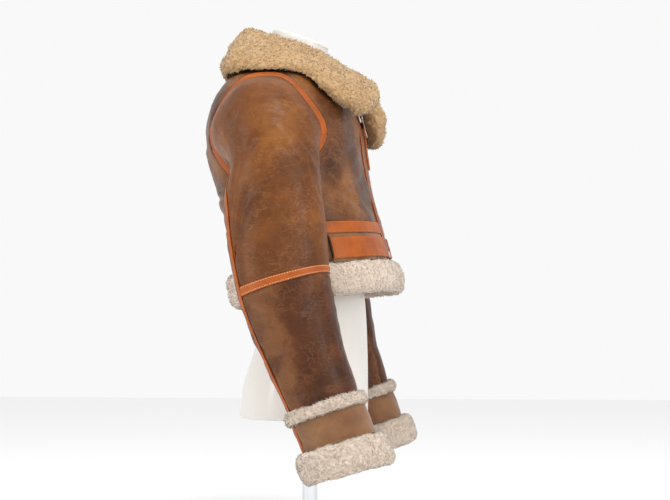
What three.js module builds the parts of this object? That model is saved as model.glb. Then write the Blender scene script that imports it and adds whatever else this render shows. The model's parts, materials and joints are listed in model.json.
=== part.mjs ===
// Cropped shearling jacket on a limbless dress form, built from the pieces a maker would cut.
// Millimetres, +Z up. The front faces -Y and the wearer's right side is -X.
// The origin is on the floor, under the middle of the stand's round base.
import * as THREE from "three";

// Walls and gaps
const HIDE = 3; // leather with its clipped wool side
const TAPE = 0.8; // how far a leather tape stands above the panels beside it
const GAP = 0.45; // between pieces at seams
const BODY_FIT = 8; // least room between a sleeve and the body beside it
const ARMPIT = 13; // more room where the sleeve comes down out of the armpit's fold

// The jacket's body: rings by height. half: half width, front and back: how far the ring reaches
// from its middle, mid: Y of the middle, lift: how much higher the ring is in front than at the side.
const BODY = [
  { z: 385, half: 177, front: 134, back: 119, mid: -10, lift: 14 },
  { z: 440, half: 178, front: 131, back: 122, mid: -2, lift: 13 },
  { z: 500, half: 178, front: 127, back: 121, mid: 10, lift: 9 },
  { z: 560, half: 183, front: 126, back: 122, mid: 24, lift: 4 },
  { z: 620, half: 187, front: 128, back: 126, mid: 37, lift: 0 },
  { z: 670, half: 187, front: 126, back: 122, mid: 42, lift: 0 },
  { z: 710, half: 186, front: 109, back: 112, mid: 41, lift: 0 },
  { z: 740, half: 172, front: 88, back: 94, mid: 39, lift: 0 },
  { z: 752, half: 140, front: 77, back: 86, mid: 38, lift: 0 },
  { z: 762, half: 108, front: 66, back: 76, mid: 36, lift: 0 },
  { z: 772, half: 84, front: 56, back: 67, mid: 34, lift: 0 },
  { z: 781, half: 68, front: 48, back: 58, mid: 32, lift: 0 },
];
const SQUARE = 2.5; // superellipse power of the body's rings
const WAIST = { tapeLow: 487, tapeHigh: 506, tapeLevel: 496, bandLow: 441, bandLevel: 460 };
const NECK_TOP = 780;
// The neckline dips in front: above a height, levels sink towards the middle of the front, over
// some degrees to each side of it.
const NECK_DIP = { deep: 74, from: 660, width: 47 };

// The armhole, a circle in side view that is pinched between its top, its sides and its foot. A
// tape goes round it, and the panels stay a little clear of the tape.
const HOLE = { y: 47, z: 650, wide: 87, high: 87, tape: 9, pinch: 0.15, room: 0.3, roomTurn: 0.2 };

// One sleeve, down its length: x is measured outwards; face: 0 where the ring's top side looks up
// and 90 where it looks outwards; lean: how far the sleeve points forward, in degrees.
const SLEEVE = [
  { at: 0, x: 176, y: 45, z: 650, wide: 87, thick: 87, face: 0, lean: 0 },
  { at: 45, x: 203, y: 40, z: 645, wide: 86, thick: 86, face: 22, lean: 0 },
  { at: 90, x: 224, y: 31, z: 624, wide: 78, thick: 76, face: 48, lean: 0 },
  { at: 135, x: 236, y: 20, z: 590, wide: 69, thick: 65, face: 70, lean: 0 },
  { at: 190, x: 245, y: 20, z: 535, wide: 75, thick: 59, face: 82, lean: 2 },
  { at: 260, x: 253, y: 12, z: 465, wide: 75, thick: 56, face: 86, lean: 6 },
  { at: 340, x: 263, y: -3, z: 386, wide: 70, thick: 54, face: 87, lean: 13 },
  { at: 425, x: 272, y: -31, z: 303, wide: 61, thick: 50, face: 87, lean: 18 },
  { at: 495, x: 279, y: -59, z: 236, wide: 56, thick: 47, face: 87, lean: 19 },
  { at: 555, x: 283, y: -82, z: 180, wide: 55, thick: 48, face: 87, lean: 17 },
  { at: 605, x: 286, y: -100, z: 133, wide: 55, thick: 49, face: 87, lean: 15 },
  { at: 650, x: 289, y: -116, z: 91, wide: 55, thick: 49, face: 87, lean: 14 },
];
const LEFT_BACK = 16; // how much less far forward the left sleeve hangs at its end
const CAP = 55; // the stretch of sleeve in which the armhole's shape becomes the tube's
const HEAD = { from: 50, to: 170 }; // where the sleeve's head gives way to a plain tube
const SLEEVE_START = 3; // how far the panels stay off the armhole's tape
const OVAL = 0.92; // power of the sleeves' and the form's sections, a little fuller than an ellipse
// Above the lower height the sleeve is held off the body, and above the upper one by the whole fold
const BESIDE = { low: 490, high: 560 };
// Seams, in degrees round the sleeve: 0 at its front, 90 outside. A tape covers the back seam,
// which swings under the arm by some degrees where it nears the armhole.
const SEAM = { front: -28, tapeOuter: 149, tapeInner: 161, swing: 76, swingStart: 50, swingEnd: 210 };
// The gap at the seams, in degrees, is wider near the armhole, where the seams bend.
const SEAM_GAP = { low: 0.3, high: 0.9, from: 130, to: 230 };
// The tape across the elbow lies between these two, and lower at its back than in front.
const ELBOW = { high: 300, low: 313, slant: 12 };
const ARM_END = 499;
const CUFF = { start: 519, end: 563, flare: 2.5 };

// Rings of wool: how far they stand out of and into the leather, and their height
const TRIM = { at: 509, out: 9, into: 5, tall: 19 };
const CUFF_WOOL = { at: 588, out: 15, into: 9, tall: 48 };
const HEM_WOOL = { z: 414, out: 14, into: 12, tall: 52 };

// The collar, from each front end round to the middle of the back. top and low are the middles of
// its upper and lower rolled edges, and fat is its thickness. The left side hangs lower in front.
const COLLAR = [
  { at: 0, topX: 16, topY: -114, topZ: 721, lowX: 62, lowY: -106, lowZ: 688, fat: 36, sag: 48 },
  { at: 1, topX: 37, topY: -98, topZ: 739, lowX: 99, lowY: -91, lowZ: 692, fat: 38, sag: 32 },
  { at: 2, topX: 58, topY: -63, topZ: 758, lowX: 132, lowY: -66, lowZ: 709, fat: 38, sag: 14 },
  { at: 3, topX: 76, topY: -15, topZ: 784, lowX: 152, lowY: -12, lowZ: 744, fat: 37, sag: 3 },
  { at: 4, topX: 80, topY: 34, topZ: 804, lowX: 156, lowY: 46, lowZ: 754, fat: 37, sag: 0 },
  { at: 5, topX: 66, topY: 80, topZ: 820, lowX: 123, lowY: 108, lowZ: 759, fat: 37, sag: 0 },
  { at: 6, topX: 36, topY: 93, topZ: 827, lowX: 67, lowY: 127, lowZ: 760, fat: 36, sag: 0 },
  { at: 7, topX: 0, topY: 96, topZ: 828, lowX: 0, lowY: 132, lowZ: 760, fat: 36, sag: 0 },
];
const COLLAR_REST = 4; // how far the collar stays clear of the body that it lies on
const COLLAR_ROLL = 12; // how much higher the upper side of its rolled edge stands
const COLLAR_END = 0.8; // how much of the table's first step the rounding of an end takes
const NECK_Y = 34; // the neck's middle

// The middle of the front: tapes beside the zip, by their distance from the middle
const FRONT_TAPE = { near: 8.2, far: 21 };
const PANEL_EDGE = FRONT_TAPE.far + GAP;
const ZIP = { low: 446, high: NECK_TOP, chainHalf: 2.4, tapeStart: 2.8, tapeEnd: 7.6 };
const SLIDER = { half: 5.5, low: 712, high: 752, outer: 6.2, inner: 2.1 };
const PULL = { half: 3.2, low: 655, high: 735, outer: 9.4, inner: 7.8 };
const THROAT = { near: 9, far: 31, low: 604, high: 692, outer: 4.6, inner: 1.6 };

// A strap along each side of the waistband, in degrees round the body, and the frame that holds it
const STRAP = { low: 446, high: 480, rise: 0.5, thick: 2, frontEnd: 67, tailStart: 72, tailEnd: 118 };
const FRAME = {
  turn: 74.5, halfTurn: 7.4, halfWide: 14.5, z: 463.5, halfHigh: 21, wire: 3, inner: 3, outer: 5.4,
};

// The dress form, bottom to neck; nod tips a ring down towards the front
const FORM = [
  { z: 198, half: 158, deep: 103, mid: 9, nod: 0 },
  { z: 250, half: 160, deep: 100, mid: 6, nod: 0 },
  { z: 310, half: 153, deep: 90, mid: -3, nod: 0 },
  { z: 380, half: 138, deep: 82, mid: -8, nod: 0 },
  { z: 450, half: 122, deep: 78, mid: -4, nod: 0 },
  { z: 530, half: 134, deep: 88, mid: 12, nod: 0 },
  { z: 610, half: 150, deep: 96, mid: 26, nod: 0 },
  { z: 680, half: 152, deep: 86, mid: 36, nod: 0 },
  { z: 725, half: 130, deep: 70, mid: 36, nod: 0 },
  { z: 752, half: 84, deep: 54, mid: 34, nod: 0.04 },
  { z: 775, half: 55, deep: 49, mid: 27, nod: 0.14 },
  { z: 800, half: 50, deep: 47, mid: 20, nod: 0.26 },
  { z: 824, half: 48, deep: 46, mid: 16, nod: 0.33 },
];
const POLE = { radius: 12.5, top: 197.6 };
const BASE = { radius: 150, edge: 6, bevelWide: 8, bevelHigh: 3, crown: 12 };

const rad = THREE.MathUtils.degToRad;
const vec = (x, y, z) => new THREE.Vector3(x, y, z);
// It squares a circle off, or pinches it.
const signedPower = (v, p) => Math.sign(v) * Math.abs(v) ** p;
const smooth = THREE.MathUtils.smoothstep;

// A table's row at any position, each column a smooth curve through the rows.
function rowAt(table, key, position) {
  const last = table.length - 1;
  const x = THREE.MathUtils.clamp(position, table[0][key], table[last][key]);
  let i = 0;
  while (i < last - 1 && table[i + 1][key] < x) i += 1;
  const a = table[i];
  const b = table[i + 1];
  const before = table[Math.max(i - 1, 0)];
  const after = table[Math.min(i + 2, last)];
  const span = b[key] - a[key];
  const t = (x - a[key]) / span;
  const row = {};
  for (const name of Object.keys(a)) {
    const slopeA = ((b[name] - before[name]) / (b[key] - before[key])) * span;
    const slopeB = ((after[name] - a[name]) / (after[key] - a[key])) * span;
    row[name] =
      (2 * t ** 3 - 3 * t ** 2 + 1) * a[name] +
      (t ** 3 - 2 * t ** 2 + t) * slopeA +
      (3 * t ** 2 - 2 * t ** 3) * b[name] +
      (t ** 3 - t ** 2) * slopeB;
  }
  return row;
}

// A surface's point moved out along its own normal. dir is 1 or -1, whichever points outwards.
function movedOut(surface, u, v, out, dir = 1) {
  const e = 0.4;
  const p = surface(u, v);
  const du = surface(u + e, v).sub(surface(u - e, v));
  const dv = surface(u, v + e).sub(surface(u, v - e));
  return p.addScaledVector(du.cross(dv).normalize(), out * dir);
}

// The body's skin: turn 0 at the middle of the front, 90 at the wearer's right, 180 at the back.
function body(turn, z) {
  const row = rowAt(BODY, "z", z);
  const c = Math.cos(rad(turn));
  const s = Math.sin(rad(turn));
  const x = -row.half * signedPower(s, 2 / SQUARE);
  const deep = c > 0 ? row.front : row.back;
  const y = row.mid - deep * signedPower(c, 2 / SQUARE);
  return vec(x, y, z + row.lift * c);
}
const bodyOut = (turn, z, out) => movedOut(body, turn, z, out, -1);

// Half the body's width where its side has this y and z.
function sideReach(y, z) {
  const row = rowAt(BODY, "z", z);
  const deep = y < row.mid ? row.front : row.back;
  const off = Math.min(Math.abs(y - row.mid) / deep, 1);
  return row.half * (1 - off ** SQUARE) ** (1 / SQUARE);
}

// The body's skin seen from one side, side -1 for the wearer's right and 1 for the left.
function flank(side, y, z, out) {
  const e = 0.5;
  const slopeY = (sideReach(y + e, z) - sideReach(y - e, z)) / (2 * e);
  const slopeZ = (sideReach(y, z + e) - sideReach(y, z - e)) / (2 * e);
  const normal = vec(side, -slopeY, -slopeZ).normalize();
  return vec(side * sideReach(y, z), y, z).addScaledVector(normal, out);
}

// How much of the circle's width is left at some share of its height.
function holePinch(up) {
  return 1 - HOLE.pinch * 4 * up * up * (1 - up * up);
}

// The armhole's edge grown by some mm; round 0 is at the front, 90 at the shoulder.
function armhole(side, round, grow, out) {
  const c = Math.cos(rad(round));
  const s = Math.sin(rad(round));
  const y = HOLE.y - (HOLE.wide + grow) * c * holePinch(s);
  const z = HOLE.z + (HOLE.high + grow) * s;
  return flank(side, y, z, out);
}

// How far round the body a panel reaches before it meets the armhole, from its own side.
function armholeTurn(z, atBack) {
  const grow = HOLE.tape + GAP + HOLE.room;
  const up = (z - HOLE.z) / (HOLE.high + grow);
  if (Math.abs(up) >= 1) return 90;
  const reach = (HOLE.wide + grow) * Math.sqrt(1 - up * up) * holePinch(up);
  const row = rowAt(BODY, "z", z);
  const y = HOLE.y + (atBack ? reach : -reach);
  const deep = y < row.mid ? row.front : row.back;
  const c = signedPower((row.mid - y) / deep, SQUARE / 2);
  const turn = THREE.MathUtils.radToDeg(Math.acos(THREE.MathUtils.clamp(c, -1, 1)));
  return atBack ? Math.max(turn, 90) : Math.min(turn, 90);
}

// The sleeve's head keeps the armhole's pinch, which fades where the sleeve has turned down.
const capPinch = (up, at) => 1 - (1 - holePinch(up)) * (1 - smooth(at, HEAD.from, HEAD.to));

// The sleeve's skin: round 0 at its front, 90 outside, 180 at its back; at in mm down the sleeve.
function sleeve(side, round, at) {
  const row = rowAt(SLEEVE, "at", at);
  const c = Math.cos(rad(round));
  const s = Math.sin(rad(round));
  const face = rad(row.face);
  const lean = rad(row.lean);
  const front = vec(0, -Math.cos(lean), Math.sin(lean));
  const outside = vec(side * Math.sin(face), 0, Math.cos(face));
  const p = vec(side * row.x, row.y, row.z);
  if (side > 0) p.y += LEFT_BACK * smooth(at, 240, 600);
  p.addScaledVector(front, row.wide * capPinch(s, at) * signedPower(c, OVAL));
  p.addScaledVector(outside, row.thick * signedPower(s, OVAL));
  const start = armhole(side, round, 0, 0);
  p.lerp(start, 1 - smooth(at, 0, CAP));
  const fold = ARMPIT * smooth(at, CAP, 135) * smooth(p.z, BESIDE.low, BESIDE.high);
  const room = sideReach(p.y, p.z) + BODY_FIT * smooth(at, 0, 25) + fold;
  if (p.x * side < room && p.z > BESIDE.low) p.x = side * room;
  return p;
}
const sleeveOut = (side, round, at, out) =>
  movedOut((u, v) => sleeve(side, u, v), round, at, out, -side);

// A closed solid through cross-sections that have the same number of points each. An open run of
// sections is capped at both ends, by strips from each section's first half to its second.
function loft(sections, closed = false) {
  const n = sections[0].length;
  const index = [];
  const quad = (a, b, c, d) => index.push(a, b, c, a, c, d);
  const count = sections.length;
  for (let i = 0; i < (closed ? count : count - 1); i += 1) {
    const here = i * n;
    const next = ((i + 1) % count) * n;
    for (let k = 0; k < n; k += 1) {
      const after = (k + 1) % n;
      quad(here + k, here + after, next + after, next + k);
    }
  }
  if (!closed) {
    const end = (count - 1) * n;
    for (let k = 0; k + 1 < n / 2; k += 1) {
      quad(n - 1 - k, n - 2 - k, k + 1, k);
      quad(end + k, end + k + 1, end + n - 2 - k, end + n - 1 - k);
    }
  }
  const points = sections.flat();
  let volume = 0;
  for (let i = 0; i < index.length; i += 3) {
    const [a, b, c] = [points[index[i]], points[index[i + 1]], points[index[i + 2]]];
    volume += a.dot(b.clone().cross(c));
  }
  if (volume < 0) index.reverse();
  const geometry = new THREE.BufferGeometry().setFromPoints(points);
  geometry.setIndex(index);
  geometry.computeVertexNormals();
  return geometry;
}

const steps = (from, to, count) =>
  Array.from({ length: count + 1 }, (_, i) => from + ((to - from) * i) / count);

// The cross-section of a wall: out along its outer face and back along its inner one.
const wallSection = (us, point, outer, inner) => [
  ...us.map((u) => point(u, outer)),
  ...us.map((u) => point(u, inner)).reverse(),
];

// A rounded section, out from a skin: across runs along the skin and out away from it.
function roundSection(count, point, middle, tall, outer, inner, power = 2.4) {
  return steps(0, 360, count).slice(0, -1).map((angle) => {
    const across = signedPower(Math.cos(rad(angle)), 2 / power);
    const away = signedPower(Math.sin(rad(angle)), 2 / power);
    const out = (outer + inner) / 2 + (away * (outer - inner)) / 2;
    return point(middle + (across * tall) / 2, out);
  });
}

// How full a run is some way in from its end: all of it beyond the rounding length.
function endShape(inwards, rounding) {
  const near = inwards / rounding;
  return near >= 1 ? 1 : Math.sqrt(Math.max(1 - (1 - near) ** 2, 0.06));
}

const leather = new THREE.MeshStandardMaterial({ color: 0x8a5c3a, roughness: 0.42 });
const suede = new THREE.MeshStandardMaterial({ color: 0xa07a52, roughness: 0.8 });
const trimTan = new THREE.MeshStandardMaterial({ color: 0xcb7434, roughness: 0.5 });
const honeyWool = new THREE.MeshStandardMaterial({ color: 0xd0b080, roughness: 0.95 });
const creamWool = new THREE.MeshStandardMaterial({ color: 0xe8dccb, roughness: 0.95 });
const steel = new THREE.MeshStandardMaterial({ color: 0xb9b9bc, roughness: 0.25, metalness: 1 });
const bronze = new THREE.MeshStandardMaterial({ color: 0x4a3226, roughness: 0.4, metalness: 0.8 });
const cloth = new THREE.MeshStandardMaterial({ color: 0x6b4a32, roughness: 0.9 });
const shell = new THREE.MeshStandardMaterial({ color: 0xeeeceb, roughness: 0.35 });

const jacket = new THREE.Group();
function piece(name, geometry, material) {
  const mesh = new THREE.Mesh(geometry, material);
  mesh.name = name;
  jacket.add(mesh);
  return mesh;
}
const SIDES = [
  { side: -1, label: "right" },
  { side: 1, label: "left" },
];

// Degrees round the body to a point some mm from the middle of the front.
function turnAtX(x, z) {
  const share = (x / rowAt(BODY, "z", z).half) ** (SQUARE / 2);
  return THREE.MathUtils.radToDeg(Math.asin(share));
}

// Where a level lies once the neckline's dip has taken it down.
function dipped(turn, z) {
  const away = Math.min(Math.abs(turn), 360 - Math.abs(turn));
  if (away >= NECK_DIP.width || z <= NECK_DIP.from) return z;
  const share = Math.cos(rad((away / NECK_DIP.width) * 90)) ** 2;
  return z - (NECK_DIP.deep * share * (z - NECK_DIP.from)) / (NECK_TOP - NECK_DIP.from);
}
const onBody = (side) => (turn, z, out) => {
  const p = bodyOut(turn, dipped(turn, z), out);
  p.x *= -side;
  return p;
};

// Front and back panels, with the armholes cut out of their sides.
function panelLevels() {
  const reach = HOLE.high + HOLE.tape + GAP;
  const low = steps(WAIST.tapeHigh + GAP, HOLE.z - reach - 1, 3);
  const along = steps(-80, 80, 14).map((a) => HOLE.z + reach * Math.sin(rad(a)));
  const high = steps(HOLE.z + reach + 1, NECK_TOP, 4);
  return [...low, ...along, ...high];
}
function frontPanel(side) {
  const point = onBody(side);
  const sections = panelLevels().map((z) => {
    const edge = turnAtX(PANEL_EDGE, Math.min(z, HOLE.z));
    const end = armholeTurn(z, false) - HOLE.roomTurn;
    return wallSection(steps(edge, end, 9), (u, out) => point(u, z, out), 0, -HIDE);
  });
  return loft(sections);
}
function backPanel() {
  const point = onBody(-1);
  const sections = panelLevels().map((z) => {
    const start = armholeTurn(z, true) + HOLE.roomTurn;
    const us = steps(start, 360 - start, 18);
    return wallSection(us, (u, out) => point(u, z, out), 0, -HIDE);
  });
  return loft(sections);
}

// A strip round the body between two levels, from one turn to another.
function bodyStrip(side, turns, low, high, outer, inner) {
  const point = onBody(side);
  const rows = steps(low, high, 2);
  return loft(
    turns.map((u) => wallSection(rows, (z, out) => point(u, z, out), outer, inner)),
  );
}

for (const { side, label } of SIDES) piece(`front_${label}`, frontPanel(side), leather);
piece("back", backPanel(), leather);

const roundFromZip = (x, z, count) => {
  const edge = turnAtX(x, z);
  return steps(edge, 360 - edge, count);
};
piece("waist_tape",
  bodyStrip(-1, roundFromZip(PANEL_EDGE, WAIST.tapeLevel, 36), WAIST.tapeLow, WAIST.tapeHigh, TAPE, -HIDE),
  trimTan);
piece("waistband",
  bodyStrip(-1, roundFromZip(PANEL_EDGE, WAIST.bandLevel, 36), WAIST.bandLow, WAIST.tapeLow - GAP, 0, -HIDE),
  suede);

// The hem's wool, open in the middle of the front, with rounded ends.
function hemWool() {
  const point = onBody(-1);
  const ends = [1.5, 4, 8, 14, 22];
  const near = ends.map((x) => turnAtX(x, HEM_WOOL.z));
  const turns = [...near, ...roundFromZip(32, HEM_WOOL.z, 40), ...near.map((u) => 360 - u).reverse()];
  return loft(
    turns.map((u, i) => {
      const x = ends[Math.min(i, turns.length - 1 - i)] ?? 100;
      const full = endShape(x - 1.5, 22);
      return roundSection(10, (z, out) => point(u, z, out), HEM_WOOL.z, HEM_WOOL.tall * full,
        HEM_WOOL.out * full, -HEM_WOOL.into * full);
    }),
  );
}
piece("hem_wool", hemWool(), creamWool);

// Sleeves, in two halves: the outer one is cut across at the elbow.
const swing = (at) => SEAM.swing * (1 - smooth(at, SEAM.swingStart, SEAM.swingEnd));
const slanted = (round, at) =>
  at + ELBOW.slant * smooth(round, 20, SEAM.tapeInner) * smooth(at, 180, ELBOW.high) *
    (1 - smooth(at, ELBOW.low, 440));
const UPPER_ROWS = steps(SLEEVE_START, ELBOW.high - GAP, 14);
const LOWER_ROWS = steps(ELBOW.low + GAP, ARM_END, 6);
const ALL_ROWS = [...UPPER_ROWS, ...LOWER_ROWS];
function sleevePanel(side, [roundFrom, roundTo], rows, columns, outer = 0) {
  return loft(
    rows.map((at) => {
      const start = roundFrom + (roundFrom > 90 ? swing(at) : 0);
      const end = roundTo + (roundTo < 180 ? swing(at) : 0);
      const near = 1 - smooth(at, SEAM_GAP.from, SEAM_GAP.to);
      const gap = SEAM_GAP.low + (SEAM_GAP.high - SEAM_GAP.low) * near;
      const rounds = steps(start + gap, end - gap, columns);
      return wallSection(rounds,
        (u, out) => sleeveOut(side, u, slanted(u, at), out), outer * smooth(at, 0, 60), -HIDE);
    }),
  );
}
function woolRing(side, { at, out, into, tall }, count, flare = 0) {
  return loft(
    steps(0, 360, count).slice(0, -1).map((u) =>
      roundSection(8, (v, o) => sleeveOut(side, u, v, o + flare), at, tall, out, -into),
    ),
    true,
  );
}
for (const { side, label } of SIDES) {
  const outside = [SEAM.front, SEAM.tapeOuter];
  const inside = [SEAM.tapeInner, 360 + SEAM.front];
  piece(`sleeve_upper_${label}`,
    sleevePanel(side, outside, UPPER_ROWS, 12), leather);
  piece(`sleeve_lower_${label}`,
    sleevePanel(side, outside, LOWER_ROWS, 12), leather);
  piece(`sleeve_under_${label}`,
    sleevePanel(side, inside, ALL_ROWS, 13), leather);
  piece(`elbow_tape_${label}`,
    sleevePanel(side, outside, [ELBOW.high, ELBOW.low], 12, TAPE), trimTan);
  piece(`back_seam_tape_${label}`,
    sleevePanel(side, [SEAM.tapeOuter, SEAM.tapeInner], ALL_ROWS, 1, TAPE),
    trimTan);
  piece(`cuff_trim_wool_${label}`, woolRing(side, TRIM, 26), creamWool);
  piece(`cuff_${label}`,
    loft(
      steps(0, 360, 26).slice(0, -1).map((u) =>
        wallSection(steps(CUFF.start, CUFF.end, 2),
          (at, out) => sleeveOut(side, u, at, out + CUFF.flare), 0, -HIDE),
      ),
      true,
    ),
    suede);
  piece(`cuff_wool_${label}`, woolRing(side, CUFF_WOOL, 26, CUFF.flare), creamWool);
}

// The tape round each armhole, let in between the sleeve and the body.
for (const { side, label } of SIDES) {
  const grows = [GAP, HOLE.tape];
  const rounds = steps(0, 360, 40).slice(0, -1);
  piece(`armhole_tape_${label}`,
    loft(
      rounds.map((u) => wallSection(grows, (g, out) => armhole(side, u, g, out), TAPE, -HIDE)),
      true,
    ),
    trimTan);
}

// Whether a point is in the body, or nearer to it than some mm.
function insideBody(p, clear) {
  const top = BODY.at(-1).z;
  for (const drop of [0, clear]) {
    const row = rowAt(BODY, "z", Math.min(p.z - drop, top));
    const deep = (p.y < row.mid ? row.front : row.back) + clear;
    const f = Math.abs(p.x / (row.half + clear)) ** SQUARE + Math.abs((p.y - row.mid) / deep) ** SQUARE;
    if (p.z - drop < top && f < 1) return true;
  }
  return false;
}

// The collar: a thick rolled band, from one front end round the neck to the other.
function collarSection(position) {
  const side = position < 7 ? -1 : 1;
  const row = rowAt(COLLAR, "at", position < 7 ? position : 14 - position);
  const sag = side > 0 ? row.sag : 0;
  const top = vec(side * row.topX, row.topY, row.topZ - sag * 0.7);
  const low = vec(side * row.lowX, row.lowY, row.lowZ - sag);
  const full = endShape(Math.min(position, 14 - position), COLLAR_END);
  const middle = top.clone().add(low).multiplyScalar(0.5);
  const across = top.clone().sub(low);
  const tall = across.length() + row.fat * 0.45;
  across.normalize();
  const outward = vec(middle.x, middle.y - NECK_Y, 30).normalize();
  outward.addScaledVector(across, -outward.dot(across)).normalize();
  return steps(0, 360, 12).slice(0, -1).map((angle) => {
    const c = signedPower(Math.cos(rad(angle)), 0.8);
    const s = signedPower(Math.sin(rad(angle)), 0.85);
    const p = middle
      .clone()
      .addScaledVector(across, (c * tall * full) / 2)
      .addScaledVector(outward, (s * row.fat * full) / 2);
    const clear = COLLAR_REST + Math.max(s, 0) * COLLAR_ROLL;
    while (insideBody(p, clear)) p.addScaledVector(outward, 0.5);
    return p;
  });
}
piece("collar", loft(steps(0, 14, 42).map(collarSection)), honeyWool);

// The zip up the middle of the front: two cloth tapes, the chain, the slider and its pull tab.
function frontRun(side, xNear, xFar, { low, high, outer, inner }, rows) {
  const point = onBody(side);
  return loft(
    steps(low, high, rows).map((z) =>
      wallSection([xNear, xFar], (x, out) => {
        const p = point(turnAtX(Math.abs(x), Math.min(z, HOLE.z)), z, out);
        p.x = side * x;
        return p;
      }, outer, inner),
    ),
  );
}
for (const { side, label } of SIDES) {
  piece(`zip_tape_${label}`,
    frontRun(side, ZIP.tapeStart, ZIP.tapeEnd, { ...ZIP, outer: -0.6, inner: -2.2 }, 16), cloth);
  piece(`front_tape_${label}`,
    frontRun(side, FRONT_TAPE.near, FRONT_TAPE.far, { ...ZIP, outer: TAPE, inner: -HIDE }, 16),
    trimTan);
}
piece("zip_chain",
  frontRun(-1, -ZIP.chainHalf, ZIP.chainHalf, { ...ZIP, outer: 1.6, inner: -2.4 }, 16), steel);
piece("zip_slider", frontRun(-1, -SLIDER.half, SLIDER.half, SLIDER, 1), steel);
piece("zip_pull", frontRun(-1, -PULL.half, PULL.half, PULL, 1), steel);

// The throat strap hangs from under the collar's left end, beside the zip.
piece("throat_strap", frontRun(1, THROAT.near, THROAT.far, THROAT, 5), trimTan);

// The straps along the waistband, each in two lengths held by a plain frame.
function strapRun(side, from, to) {
  const stations = roundFromZip(PANEL_EDGE, WAIST.bandLevel, 36).filter((u) => u > from + 1 && u < to - 1);
  return bodyStrip(side, [from, ...stations, to], STRAP.low, STRAP.high,
    STRAP.rise + STRAP.thick, STRAP.rise);
}
function frameRing(side) {
  const point = onBody(side);
  const degreesPerMm = FRAME.halfTurn / FRAME.halfWide;
  const corner = (angle, shrink, out) => {
    const c = signedPower(Math.cos(rad(angle)), 0.25);
    const s = signedPower(Math.sin(rad(angle)), 0.25);
    return point(FRAME.turn + c * (FRAME.halfTurn - shrink * degreesPerMm),
      FRAME.z + s * (FRAME.halfHigh - shrink), out);
  };
  const angles = [0, 38, 45, 52, 90, 128, 135, 142, 180, 218, 225, 232, 270, 308, 315, 322];
  return loft(
    angles.map((a) => [
      corner(a, 0, FRAME.outer),
      corner(a, FRAME.wire, FRAME.outer),
      corner(a, FRAME.wire, FRAME.inner),
      corner(a, 0, FRAME.inner),
    ]),
    true,
  );
}
for (const { side, label } of SIDES) {
  const start = turnAtX(PANEL_EDGE + 1, WAIST.bandLevel);
  piece(`waist_strap_${label}`, strapRun(side, start, STRAP.frontEnd), trimTan);
  piece(`strap_tail_${label}`, strapRun(side, STRAP.tailStart, STRAP.tailEnd), trimTan);
  piece(`strap_frame_${label}`, frameRing(side), bronze);
}

// The form that the jacket is on: a smooth torso, its pole and a round base.
function torso() {
  const rings = [...steps(FORM[0].z, 720, 13), ...steps(736, FORM.at(-1).z, 6)];
  return loft(
    rings.map((z) => {
      const row = rowAt(FORM, "z", z);
      return steps(0, 360, 28).slice(0, -1).map((turn) => {
        const x = row.half * signedPower(Math.sin(rad(turn)), OVAL);
        const y = -row.deep * signedPower(Math.cos(rad(turn)), OVAL);
        return vec(x, row.mid + y, z + row.nod * y);
      });
    }),
  );
}
piece("form_torso", torso(), shell);
const pole = piece("form_pole",
  new THREE.CylinderGeometry(POLE.radius, POLE.radius, POLE.top - BASE.crown - GAP, 24), steel);
pole.rotation.x = Math.PI / 2;
pole.position.z = (POLE.top + BASE.crown + GAP) / 2;
const baseProfile = [
  [0, 0],
  [BASE.radius, 0],
  [BASE.radius, BASE.edge],
  [BASE.radius - BASE.bevelWide, BASE.edge + BASE.bevelHigh],
  [POLE.radius * 2, BASE.crown],
  [0, BASE.crown],
].map(([r, h]) => new THREE.Vector2(r, h));
const base = piece("form_base", new THREE.LatheGeometry(baseProfile, 48), steel);
base.rotation.x = Math.PI / 2;

export default jacket;
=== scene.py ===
# %% [markdown]
# # A cropped shearling jacket on a dress form
# The jacket is sheepskin worn with its leather side out. Its collar, hem and cuffs show the wool
# side, and orange tapes cover its seams. This lesson dresses plain solids of the same jacket:
# each leather panel becomes a thin wall with its own creases, each band of wool becomes a fleece
# of curls, and every finish is made from nodes. All the shapes below are worked out in
# millimetres with numpy, in the frame of the solids: the front faces -Y and +Z is up.

# %% Load the solids
import json
import math

import bpy
import numpy as np
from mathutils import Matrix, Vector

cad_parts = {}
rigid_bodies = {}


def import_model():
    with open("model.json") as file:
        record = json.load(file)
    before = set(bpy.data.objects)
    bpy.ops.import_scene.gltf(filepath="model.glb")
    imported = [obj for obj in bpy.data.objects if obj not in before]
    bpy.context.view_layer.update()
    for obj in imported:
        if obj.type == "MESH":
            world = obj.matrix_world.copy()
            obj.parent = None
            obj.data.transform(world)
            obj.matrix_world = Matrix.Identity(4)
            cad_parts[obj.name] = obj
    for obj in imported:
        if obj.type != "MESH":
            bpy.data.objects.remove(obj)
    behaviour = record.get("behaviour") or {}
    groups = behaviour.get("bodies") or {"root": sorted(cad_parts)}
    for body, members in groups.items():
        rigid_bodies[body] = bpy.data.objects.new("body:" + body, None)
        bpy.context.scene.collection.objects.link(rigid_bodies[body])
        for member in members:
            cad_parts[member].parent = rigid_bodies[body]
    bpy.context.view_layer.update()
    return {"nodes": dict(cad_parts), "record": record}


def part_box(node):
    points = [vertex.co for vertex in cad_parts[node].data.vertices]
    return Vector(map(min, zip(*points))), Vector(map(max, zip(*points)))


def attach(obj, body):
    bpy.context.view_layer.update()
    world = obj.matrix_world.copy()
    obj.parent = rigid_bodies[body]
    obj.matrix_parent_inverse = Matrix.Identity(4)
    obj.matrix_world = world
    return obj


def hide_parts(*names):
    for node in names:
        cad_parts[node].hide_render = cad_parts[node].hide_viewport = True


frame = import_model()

BODY_NAME = "jacket"
MM = 0.001
SIDES = ((-1, "right"), (1, "left"))  # the wearer's right is at -X

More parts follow.
